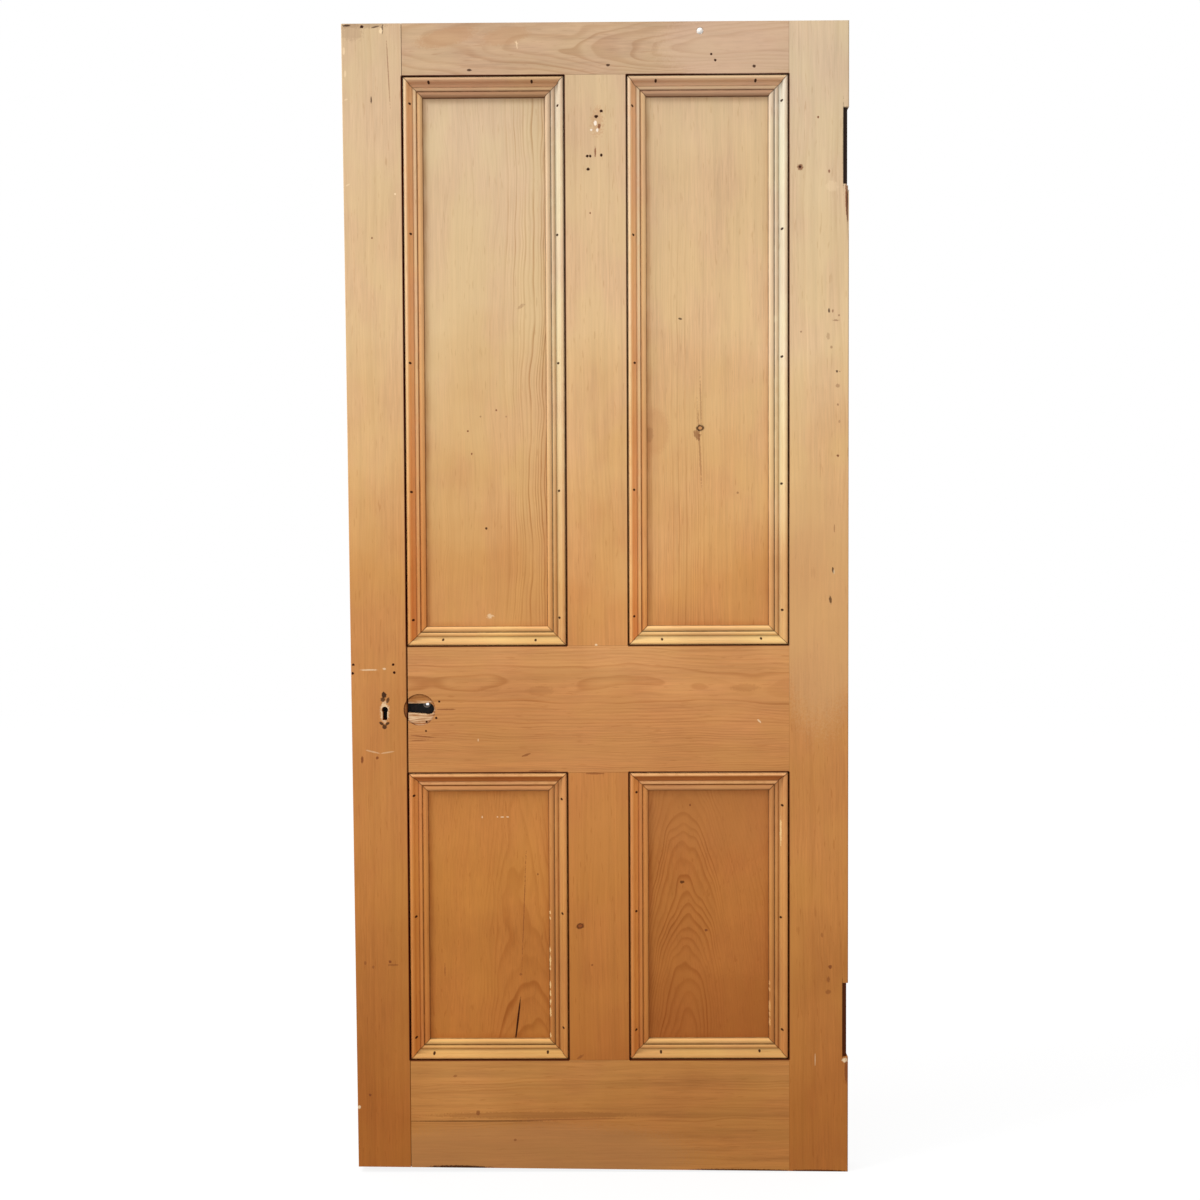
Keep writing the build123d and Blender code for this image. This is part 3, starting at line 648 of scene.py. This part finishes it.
lower_muntin = cut_board("lower_muntin_pine", (0.7, 0.2, 9.0), (0.0, 0.01, 0.0), **quiet_grain)
edge_grime_and_shade(lower_muntin, "X", (muntin_left, muntin_right), "Z", opening_levels, 0.95, 0.0018)
lower_muntin_scars = {
    "knot": ((-0.4645, 0.4329), (0.0062, 0.0046), srgb(84, 38, 18), 0.85, 12.0, 0.4),
    "heart of the knot": ((-0.4645, 0.4329), (0.0032, 0.0024), srgb(150, 82, 40), 0.8, 12.0, 0.4),
    "speck": ((-0.444, 0.3645), (0.0018, 0.0013), rust, 0.7),
    "lip under the lock rail": ((-0.438, 0.6985), (0.014, 0.0014), rust, 0.6),
    "bruise at the foot": ((-0.4656, 0.203), (0.006, 0.002), rust, 0.5, 30.0),
}
scar_board(lower_muntin, lower_muntin_scars)
wax_faces(lower_muntin)
finish_board(lower_muntin, "lower_muntin")

# Panels: flat, plain-sawn boards held in the frame's grooves, free to shrink and swell.
# Each shows its own figure, with nested arches on the lower right one and a crack on the lower left.
panel_y = -0.00635


def upright_log(lean):
    """Stand a log up the door, its pith going deeper towards the head."""
    return (lean, 0.0, 0.0)


def panel_edge_stain_and_shadow(board, left, right, foot, head):
    """Darkening along a panel's edges, most on the left and at the head: partly old stain and wax,
    partly painted shadow cast by the mouldings.
    """
    tree = board["material"].node_tree
    where = put(tree, "SeparateXYZ", {0: board["place"]}).outputs
    moulding_cover = 0.0346
    stain_and_shadow_width = 0.012
    patches = noise(tree, board["place"], 14.0, 3.0)
    borders = (
        (where["X"], left + moulding_cover, 1.0, 0.8),
        (where["X"], right - moulding_cover, -1.0, 0.35),
        (where["Z"], head - moulding_cover, -1.0, 0.55),
        (where["Z"], foot + moulding_cover, 1.0, 0.4),
    )
    # The darkening built here is stain with painted shadow, laid on most strongly on the left and at
    # the head.
    stain = 0.0
    for level, edge, inward, strength in borders:
        off = calc(tree, "MULTIPLY", calc(tree, "SUBTRACT", level, edge), inward)
        stain = calc(tree, "MAXIMUM", stain, ease(tree, off, -0.001, stain_and_shadow_width, strength, 0.0))
    stain = calc(tree, "MULTIPLY", stain, ease(tree, patches, 0.3, 0.7, 0.3, 1.0))
    stained = blend(tree, 1.0, board["colour"], (0.74, 0.56, 0.42, 1.0), "MULTIPLY")
    board["colour"] = blend(tree, stain, board["colour"], stained)


openings = {
    "upper_left": (lock_stile_edge, muntin_left, lock_rail_top, top_rail_foot),
    "upper_right": (muntin_right, hinge_stile_edge, lock_rail_top, top_rail_foot),
    "lower_left": (lock_stile_edge, muntin_left, bottom_rail_top, lock_rail_foot),
    "lower_right": (muntin_right, hinge_stile_edge, bottom_rail_top, lock_rail_foot),
}
panels = {
    "upper_left_panel": {
        "pith": (0.90, 0.1, 0.0),
        "turn": upright_log(0.0),
        "spacing": 0.0052,
        "wander": 0.06,
        "lines": 1.05,
        "streaks": 0.12,
        "tint": (1.0, 1.05, 1.09),
        "figure": ((-0.535, 0.0, 1.4), (1 / 0.045, 0.0, 0.0)),
    },
    "upper_right_panel": {
        "pith": (-0.10, 0.2, 2.0),
        "turn": upright_log(0.012),
        "spacing": 0.0046,
        "wander": 0.02,
        "lines": 0.5,
        "streaks": 0.24,
        "tint": (1.01, 1.01, 1.0),
        "figure": ((-0.34, 0.0, 1.2), (1 / 0.10, 0.0, 1 / 0.5)),
    },
    "lower_left_panel": {
        "pith": (0.566, -0.04, 4.0),
        "turn": upright_log(0.09),
        "spacing": 0.0042,
        "wander": 0.05,
        "lines": 0.9,
        "streaks": 0.16,
        "tint": (1.04, 1.04, 0.97),
        "figure": ((-0.566, 0.0, 0.38), (1 / 0.06, 0.0, 1 / 0.25)),
    },
    "lower_right_panel": {
        "pith": (0.286, -0.03, 0.0),
        "turn": upright_log(0.16),
        "spacing": 0.0034,
        "wander": 0.05,
        "lines": 1.35,
        "streaks": 0.16,
        "tint": (0.89, 0.82, 0.80),
        "figure": ((-0.286, 0.0, 0.45), (1 / 0.055, 0.0, 0.0)),
    },
}
panel_scars = {
    "upper_left_panel": {
        "pale flecks": ((-0.6183, 0.971), (0.0044, 0.0036), bare, 0.55, 0.0, 2.0),
        "kink in the grain": ((-0.561, 1.505), (0.007, 0.0026), rust, 0.3, 35.0, 1.0),
        "worm hole": ((-0.6053, 1.3265), (0.0014, 0.0016), rust, 0.85),
        "second worm hole": ((-0.6548, 1.2906), (0.0016, 0.0014), rust, 0.9),
        "third worm hole": ((-0.6482, 1.2517), (0.0013, 0.0017), rust, 0.85),
        "low worm hole": ((-0.6238, 1.123), (0.0019, 0.0019), hole, 0.88),
        "faint worm hole": ((-0.6327, 1.3158), (0.0013, 0.0015), rust, 0.45),
        "faint worm hole on the right": ((-0.5882, 1.3155), (0.0013, 0.0015), rust, 0.4),
    },
    "upper_right_panel": {
        "curl by the moulding": ((-0.335, 1.288), (0.026, 0.036), srgb(190, 128, 80), 0.28, 0.0, 0.3),
        "heart of the curl": ((-0.343, 1.283), (0.008, 0.012), rust, 0.22, 0.0, 0.5),
        "speck": ((-0.2873, 1.4818), (0.0028, 0.0016), hole, 0.78, -15.0),
        "dent": ((-0.1888, 1.1825), (0.0018, 0.0016), rust, 0.5),
        "grain pulled down to the knot": ((-0.2545, 1.262), (0.0016, 0.06), rust, 0.35, 3.0, 1.0),
        "grain pulled up to the knot": ((-0.2525, 1.335), (0.0013, 0.04), rust, 0.35, 1.0, 1.0),
        "torn grain under the knot": ((-0.259, 1.2815), (0.0045, 0.0075), rust, 0.6, 20.0, 1.0),
        "knot": ((-0.2534, 1.2942), (0.0062, 0.005), hole, 0.85, 0.0, 0.3),
        "heart of the knot": ((-0.2534, 1.2942), (0.003, 0.0024), srgb(206, 146, 92), 0.9, 0.0, 0.3),
    },
    "lower_left_panel": {
        "pale fleck": ((-0.6347, 0.6205), (0.0012, 0.0018), bare, 0.65),
        "second pale fleck": ((-0.608, 0.6206), (0.0013, 0.0012), bare, 0.65),
        "third pale fleck": ((-0.6, 0.6203), (0.0028, 0.0011), bare, 0.65),
        "fourth pale fleck": ((-0.5905, 0.6205), (0.0022, 0.0011), bare, 0.65),
        "crack": ((-0.5747, 0.2625), (0.0015, 0.036), hole, 0.95, -7.0, 0.2),
        "hairline over the crack": ((-0.5628, 0.455), (0.0008, 0.085), rust, 0.5, -2.4, 1.5),
        "speck over the crack": ((-0.569, 0.3438), (0.0022, 0.002), rust, 0.55),
        "scratch by the moulding": ((-0.7017, 0.351), (0.001, 0.012), rust, 0.4, 0.0, 1.0),
        "speck on the right": ((-0.5383, 0.5196), (0.0013, 0.0018), rust, 0.7),
    },
    "lower_right_panel": {
        "deeper foot": ((-0.241, 0.27), (0.15, 0.07), srgb(158, 90, 38), 0.3, 0.0, 0.3),
        "paler head": ((-0.241, 0.65), (0.16, 0.08), srgb(186, 122, 68), 0.3, 0.0, 0.3),
        "dent": ((-0.2866, 0.5054), (0.0034, 0.0022), hole, 0.75),
        "low dent": ((-0.2449, 0.4208), (0.0024, 0.0018), rust, 0.8),
        "speck": ((-0.2723, 0.6403), (0.0014, 0.0018), rust, 0.8),
    },
}
for node, cut in panels.items():
    panel = cut_board(node + "_pine", **cut)
    panel_edge_stain_and_shadow(panel, *openings[node.removesuffix("_panel")])
    scar_board(panel, panel_scars[node], panel_y)
    finish_board(panel, node)

# Mouldings: lengths of ogee and bead run in pine, mitred at the corners and held by brads.
# Dirt and old wax lie in the quirk, the mitres and against the frame, deepened there with painted
# shade, and the arrises are rubbed pale with a painted highlight on them. Each side of an opening is
# tinted with its own painted light and shade.
run_moulding, given, gives = start_group(
    "run_moulding",
    {
        "Colour": (1.0, 1.0, 1.0, 1.0),
        "Vector": (0.0, 0.0, 0.0),
        "Corner": (0.0, 0.0, 0.0),
        "Inward": (1.0, 0.0, 0.0),
        "Along": (0.0, 0.0, 1.0),
        "Length": 1.0,
        "First Brad": 0.05,
        "Brad Pitch": 0.2,
        "Hollow": (1.0, 1.0, 1.0, 1.0),
        "Crest": (1.0, 1.0, 1.0, 1.0),
        "Bead": (1.0, 1.0, 1.0, 1.0),
    },
    {"Colour": (1.0, 1.0, 1.0, 1.0), "Shine": 1.0},
)
away = vector_calc(run_moulding, "SUBTRACT", given["Vector"], given["Corner"])
across = span(run_moulding, "DOT_PRODUCT", away, given["Inward"])
along = span(run_moulding, "DOT_PRODUCT", away, given["Along"])
from_end = calc(run_moulding, "MINIMUM", along, calc(run_moulding, "SUBTRACT", given["Length"], along))
mitre = calc(run_moulding, "ABSOLUTE", calc(run_moulding, "SUBTRACT", from_end, across))
grime = noise(run_moulding, given["Vector"], 60.0, 3.0)


def line_along(middle, half_width, strength):
    """A soft line that runs along the moulding, at a distance from its outer edge."""
    off = calc(run_moulding, "ABSOLUTE", calc(run_moulding, "SUBTRACT", across, middle))
    return ease(run_moulding, off, half_width * 0.4, half_width, strength, 0.0)


nose_across, cove_across, astragal_across = 0.0026, 0.0151, 0.0182
quirk_across, bead_across, bead_foot_across = 0.0222, 0.0242, 0.0326
groove_half_width = 0.0014
# Dark lines at the outer edge, cove, quirk, bead foot and mitres: partly grime, partly painted shade in
# these creases.
dirt_and_shade = ease(run_moulding, across, 0.0, 0.0005, 0.6, 0.0)
for groove_across, strength in ((quirk_across, 0.6), (cove_across, 0.3), (bead_foot_across, 0.6)):
    dirt_and_shade = calc(run_moulding, "MAXIMUM", dirt_and_shade, line_along(groove_across, groove_half_width, strength))
dirt_and_shade = calc(run_moulding, "MAXIMUM", dirt_and_shade, ease(run_moulding, mitre, 0.0003, 0.0014, 0.7, 0.0))
dirt_and_shade = calc(run_moulding, "MULTIPLY", dirt_and_shade, ease(run_moulding, grime, 0.2, 0.6, 0.65, 1.0))
nose = line_along(nose_across, 0.0045, 1.0)
crest = calc(run_moulding, "MAXIMUM", nose, line_along(astragal_across, 0.0042, 1.0))
crest = calc(run_moulding, "MULTIPLY", crest, ease(run_moulding, grime, 0.25, 0.6, 0.7, 1.1))
# The hollow, crest and bead take each side's tints, which are painted light and shade.
wear_and_light = blend(run_moulding, crest, given["Hollow"], given["Crest"])
wear_and_light = blend(run_moulding, ease(run_moulding, across, quirk_across, bead_across), wear_and_light, given["Bead"])
# The nose is lightened: partly rubbed pale, partly painted highlight.
rubbed_and_lit_nose = 1.14
wear_and_light = stretch(run_moulding, wear_and_light, ease(run_moulding, across, 0.0035, 0.0055, rubbed_and_lit_nose, 1.0))
depth = put(run_moulding, "SeparateXYZ", {0: given["Vector"]}).outputs["Y"]
front = calc(run_moulding, "LESS_THAN", depth, 0.0)
back_tint = (1.02, 1.05, 1.06, 1.0)
wear_and_light = blend(run_moulding, front, back_tint, wear_and_light)
colour = vector_calc(run_moulding, "MULTIPLY", given["Colour"], wear_and_light)
colour = blend(run_moulding, dirt_and_shade, colour, srgb(70, 34, 16))

brad_core, brad_rim = 0.0017, 0.0025
brad_line, brad_play = 0.008, 0.004
clear_of_mitre = 0.02
step = calc(run_moulding, "SUBTRACT", along, given["First Brad"])
step = calc(run_moulding, "DIVIDE", step, given["Brad Pitch"])
nearest = calc(run_moulding, "ROUND", step)
brad_off = calc(run_moulding, "SUBTRACT", step, nearest)
brad_along = calc(run_moulding, "MULTIPLY", brad_off, given["Brad Pitch"])
brad_key = {"Vector": given["Corner"], "W": nearest}
jitter = put(run_moulding, "TexWhiteNoise", brad_key, noise_dimensions="4D").outputs["Value"]
brad_place = calc(run_moulding, "MULTIPLY_ADD", jitter, brad_play, brad_line)
brad_across = calc(run_moulding, "SUBTRACT", across, brad_place)
reach = put(run_moulding, "CombineXYZ", {"X": brad_along, "Y": brad_across}).outputs[0]
brad = ease(run_moulding, span(run_moulding, "LENGTH", reach), brad_core, brad_rim, 0.95, 0.0)
nailed = calc(run_moulding, "GREATER_THAN", from_end, clear_of_mitre)
brad = calc(run_moulding, "MULTIPLY", brad, nailed)
colour = blend(run_moulding, brad, colour, hole)
run_moulding.links.new(colour, gives["Colour"])
run_moulding.links.new(ease(run_moulding, across, 0.0003, 0.0012), gives["Shine"])

side_gap = 0.0018
end_gap = 0.0014
unnailed = (1.0, 1.0)
brads = {
    "upper_left": {
        "top": (0.044, 0.176),
        "bottom": (0.061, 0.160),
        "left": (0.044, 0.221),
        "right": (0.047, 0.219),
    },
    "upper_right": {
        "top": (0.049, 0.170),
        "bottom": (0.057, 0.171),
        "left": (0.049, 0.218),
        "right": (0.059, 0.2175),
    },
    "lower_left": {
        "top": unnailed,
        "bottom": (0.040, 0.198),
        "left": (0.037, 0.212),
        "right": (0.054, 0.200),
    },
    "lower_right": {
        "top": unnailed,
        "bottom": (0.053, 0.172),
        "left": (0.049, 0.208),
        "right": (0.049, 0.1965),
    },
}
# Tints for hollow, crest and bead on each side of the openings: painted light and shade, paler and
# cooler on the lit bottom and right sides, warmer and darker hollows on the top and left.
lit_and_shaded_tints = {
    "upper": {
        "top": ((1.1, 0.89, 0.82), (1.02, 0.94, 0.88), (0.68, 0.54, 0.50)),
        "bottom": ((1.07, 1.56, 2.0), (1.25, 1.64, 2.0), (1.25, 1.6, 1.98)),
        "left": ((1.13, 0.88, 0.70), (1.19, 1.2, 1.22), (1.03, 0.9, 0.76)),
        "right": ((1.04, 1.31, 1.64), (0.95, 1.04, 1.18), (1.05, 1.14, 1.27)),
    },
    "lower": {
        "top": ((0.87, 0.71, 0.65), (1.54, 1.93, 2.85), (1.22, 1.38, 1.89)),
        "bottom": ((1.22, 1.9, 2.9), (1.42, 2.04, 3.1), (1.52, 2.35, 3.8)),
        "left": ((1.3, 1.25, 1.16), (1.24, 1.24, 1.47), (1.13, 1.14, 1.22)),
        "right": ((1.15, 1.36, 1.77), (1.03, 1.11, 1.36), (1.03, 1.11, 1.35)),
    },
}
opening_tints = {
    "upper_left": (0.98, 0.95, 0.92),
    "upper_right": (1.04, 1.08, 1.13),
    "lower_left": (1.0, 1.0, 0.97),
    "lower_right": (1.03, 1.06, 1.09),
}
raw_chip = srgb(240, 206, 146)
rubbed_chip = srgb(222, 172, 110)
bead_y = -0.0095
hollow_y = -0.0125
moulding_chips = {
    "bead of the lower left panel": (
        "lower_left_right",
        (-0.5172, bead_y),
        raw_chip,
        (
            (0.4538, 0.0030),
            (0.4444, 0.0020),
            (0.3878, 0.0040),
            (0.3678, 0.0110),
            (0.3544, 0.0020),
            (0.3261, 0.0050),
            (0.3111, 0.0050),
            (0.2961, 0.0050),
            (0.2778, 0.0070),
            (0.2378, 0.0035),
        ),
    ),
    "bead of the lower right panel": (
        "lower_right_right",
        (-0.1347, bead_y),
        rubbed_chip,
        ((0.3288, 0.0035), (0.3173, 0.0025), (0.2885, 0.0070), (0.2741, 0.0040), (0.2597, 0.0060)),
    ),
    "hollow of the lower right panel": (
        "lower_right_right",
        (-0.1155, hollow_y),
        raw_chip,
        ((0.604, 0.0140), (0.585, 0.0120)),
    ),
}
chip_half_width = 0.0012
chip_strength = 0.75
chip_ragged = 1.4
moulding_grain = {"spacing": 0.005, "wander": 0.01, "lines": 0.2, "streaks": 0.2}
for number, (place, (left, right, foot, head)) in enumerate(openings.items()):
    left, right, foot, head = left + side_gap, right - side_gap, foot + end_gap, head - end_gap
    width, height = right - left, head - foot
    sides = {
        "top": ((left, 0.0, head), (0.0, 0.0, -1.0), (1.0, 0.0, 0.0), width),
        "bottom": ((left, 0.0, foot), (0.0, 0.0, 1.0), (1.0, 0.0, 0.0), width),
        "left": ((left, 0.0, foot), (1.0, 0.0, 0.0), (0.0, 0.0, 1.0), height),
        "right": ((right, 0.0, foot), (-1.0, 0.0, 0.0), (0.0, 0.0, 1.0), height),
    }
    for side, (corner, inward, along, length) in sides.items():
        first_brad, pitch = brads[place][side]
        hollow, crest, bead = lit_and_shaded_tints[place.split("_")[0]][side]
        turn = upright_log(0.0) if side in ("left", "right") else level_log(0.0)
        pith = (0.3 + number, 0.35, 0.0)
        name = f"{place}_{side}"
        tint = opening_tints[place]
        board = cut_board(name + "_moulding_pine", pith, turn, **moulding_grain, tint=tint)
        inputs = {
            "Colour": board["colour"],
            "Vector": board["place"],
            "Corner": corner,
            "Inward": inward,
            "Along": along,
            "Length": length,
            "First Brad": first_brad,
            "Brad Pitch": pitch,
            "Hollow": (*hollow, 1.0),
            "Crest": (*crest, 1.0),
            "Bead": (*bead, 1.0),
        }
        run = put(board["material"].node_tree, "Group", inputs, node_tree=run_moulding).outputs
        board["colour"] = run["Colour"]
        board["shine"] = run["Shine"]
        for owner, (chip_x, chip_y), chip_colour, chips in moulding_chips.values():
            if owner != name:
                continue
            for chip_z, half_length in chips:
                chip = ((chip_x, chip_z), (chip_half_width, half_length), chip_colour)
                scar(board, *chip, chip_strength, ragged=chip_ragged, face_y=chip_y)
        finish_board(board, f"front_{name}_moulding", f"back_{name}_moulding")

# Hole filler: white stopping pressed into an old hole through the top rail, shrunk back from the face.
# A short plug with a crumbled front.
hole_x, hole_z = -0.2535, 1.965
filler_radius = 0.0057
filler_length = 0.012
filler_sink = 0.0003
filler_sides = 24
bpy.ops.mesh.primitive_cylinder_add(vertices=filler_sides, radius=filler_radius, depth=filler_length)
hole_filler = bpy.context.object
hole_filler.name = "hole_filler"
bpy.ops.object.mode_set(mode="EDIT")
bpy.ops.mesh.select_all(action="SELECT")
bpy.ops.transform.rotate(value=quarter_turn, orient_axis="X", center_override=(0.0, 0.0, 0.0))
bpy.ops.transform.translate(value=(hole_x, front_y + filler_sink + filler_length / 2, hole_z))
bpy.ops.mesh.select_mode(type="FACE")
bpy.ops.mesh.select_face_by_sides(number=filler_sides)
bpy.ops.mesh.inset(thickness=filler_radius / 5)
bpy.ops.mesh.inset(thickness=filler_radius / 4)
bpy.ops.mesh.inset(thickness=filler_radius / 4)
bpy.ops.transform.vertex_random(offset=0.0002, seed=5)
bpy.ops.object.mode_set(mode="OBJECT")
bpy.ops.object.shade_smooth()
stopping = bpy.data.materials.new("stopping")
stopping.use_nodes = True
tree = stopping.node_tree
shader = tree.nodes["Principled BSDF"]
crumbs = noise(tree, put(tree, "TexCoord").outputs["Object"], 700.0, 3.0)
chalky = blend(tree, ease(tree, crumbs, 0.4, 0.7), srgb(252, 248, 242), srgb(214, 200, 186))
tree.links.new(chalky, shader.inputs["Base Color"])
bump = put(tree, "Bump", {"Height": crumbs, "Strength": 0.4, "Distance": 0.0004})
tree.links.new(bump.outputs["Normal"], shader.inputs["Normal"])
shader.inputs["Roughness"].default_value = 0.9
shader.inputs["Specular IOR Level"].default_value = 0.2
hole_filler.data.materials.append(stopping)
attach(hole_filler, "root")

# Wedges: slips of pine driven in beside the tenons, which spread them in the mortices.
# They are cut off flush with the door's edges, where their end grain has darkened.
slip_grain = {"spacing": 0.003, "wander": 0.01, "lines": 0.6, "streaks": 0.6}
wedges = cut_board(
    "wedge_pine", (0.0, 0.3, 0.0), level_log(0.0), **slip_grain, tint=(0.62, 0.56, 0.5)
)
finish_board(wedges, "tenon_wedges")

# Hinge packings: strips of softwood that fill the recesses of the lost hinges.
# They keep their old dark stain, as they were never stripped with the rest, and carry painted shade of
# the recesses as well, the upper one near black.
packing_stain_and_shade_tints = {
    "lower_hinge_packing": (0.20, 0.13, 0.13),
    "upper_hinge_packing": (0.05, 0.045, 0.06),
}
for node, tint in packing_stain_and_shade_tints.items():
    packing = cut_board(node + "_wood", (0.02, 0.1, 0.0), upright_log(0.0), **slip_grain, tint=tint)
    finish_board(packing, node)

# Mortice lock: a blackened iron case let into the lock edge, its forend held by screws.
# The iron is rusty in patches, and the follower is rubbed bright where the spindle turned, lightened
# further as a painted glint.
lock_iron = bpy.data.materials.new("lock_iron")
lock_iron.use_nodes = True
tree = lock_iron.node_tree
shader = tree.nodes["Principled BSDF"]
spindle = (-0.72926, 0.0, 0.8185)
follower_radius = 0.0065
place = put(tree, "TexCoord").outputs["Object"]
away = vector_calc(tree, "MULTIPLY", vector_calc(tree, "SUBTRACT", place, spindle), (1.0, 0.0, 1.0))
worn_radius, dull_radius = follower_radius - 0.0008, follower_radius + 0.0002
worn_and_glint = ease(tree, span(tree, "LENGTH", away), worn_radius, dull_radius, 1.0, 0.0)
rusty = ease(tree, noise(tree, place, 120.0, 4.0), 0.5, 0.75)
iron = blend(tree, rusty, srgb(16, 14, 14), srgb(40, 28, 24))
iron = blend(tree, worn_and_glint, iron, srgb(120, 112, 106))
tree.links.new(iron, shader.inputs["Base Color"])
shader.inputs["Metallic"].default_value = 0.2
shader.inputs["Roughness"].default_value = 0.6
shader.inputs["Specular IOR Level"].default_value = 0.25
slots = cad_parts["mortice_lock"].data.materials
slots.clear()
slots.append(lock_iron)

# Stage: a wide studio floor that the door stands on, in matt paint.
# It looks white and keeps the door's shadow, and throws less light back than it shows.
floor_size = 14.0


def seen_rays(tree):
    """One for what the eye sees, straight or in a mirror or glass, and nought for other light."""
    rays = put(tree, "LightPath").outputs
    mirrored = calc(tree, "MAXIMUM", rays["Is Glossy Ray"], rays["Is Transmission Ray"])
    return calc(tree, "MAXIMUM", rays["Is Camera Ray"], mirrored)


bpy.ops.mesh.primitive_plane_add(size=floor_size, location=(-0.432, 0.0, 0.0))
floor = bpy.context.object
floor.name = "floor"
floor_paint = bpy.data.materials.new("floor_paint")
floor_paint.use_nodes = True
tree = floor_paint.node_tree
shader = tree.nodes["Principled BSDF"]
shader.inputs["Roughness"].default_value = 0.9
grey_paint = (0.35, 0.35, 0.35, 1.0)
white_paint = (0.9, 0.9, 0.9, 1.0)
pure_white = (1.0, 1.0, 1.0, 1.0)
glow_share = 0.85
seen = seen_rays(tree)
tree.links.new(blend(tree, seen, grey_paint, white_paint), shader.inputs["Base Color"])
glow = put(tree, "Emission", {"Color": pure_white, "Strength": 1.0})
lit = calc(tree, "MULTIPLY", seen, glow_share)
mixed = put(tree, "MixShader", {0: lit, 1: shader.outputs[0], 2: glow.outputs[0]})
tree.links.new(mixed.outputs[0], tree.nodes["Material Output"].inputs["Surface"])
floor.data.materials.append(floor_paint)

# Light: one soft lamp high on the left, which rakes the mouldings, in an even white room.
# The room fills the shadows and shows as plain white behind the door.
room = bpy.data.worlds.new("room")
bpy.context.scene.world = room
room.use_nodes = True
tree = room.node_tree
tree.nodes.clear()
room_fill = 1.08
fill = put(tree, "Background", {"Color": pure_white, "Strength": room_fill})
white = put(tree, "Background", {"Color": pure_white, "Strength": 1.0})
mixed = put(tree, "MixShader", {0: seen_rays(tree), 1: fill.outputs[0], 2: white.outputs[0]})
put(tree, "OutputWorld", {"Surface": mixed.outputs[0]})

lamp_place = (-3.0, -1.1, 4.4)
lamp_target = (-0.43, 0.0, 1.0)
bpy.ops.object.light_add(type="AREA", location=lamp_place)
key_lamp = bpy.context.object
key_lamp.name = "key_lamp"
key_lamp.data.size = 1.2
key_lamp.data.energy = 129.0
aim_x, aim_y, aim_z = (end - start for start, end in zip(lamp_place, lamp_target))
lamp_tilt = math.atan2(math.hypot(aim_x, aim_y), -aim_z)
key_lamp.rotation_euler = (lamp_tilt, 0.0, math.atan2(-aim_x, aim_y))

# Camera: a plain lens square on to the door, at chest height and a little right of its middle.
# It looks down very slightly.
camera_tilt, camera_roll, camera_swing = 1.771, 0.259, 0.337
camera_data = bpy.data.cameras.new("camera")
camera = bpy.data.objects.new("camera", camera_data)
bpy.context.collection.objects.link(camera)
camera_data.sensor_width = 36.0
camera_data.lens = 40.1
camera.location = (-0.4137, -2.322, 1.0696)
camera_turn = (90.0 - camera_tilt, camera_roll, camera_swing)
camera.rotation_euler = [math.radians(angle) for angle in camera_turn]
bpy.context.scene.camera = camera
bpy.context.scene.view_settings.view_transform = "Standard"
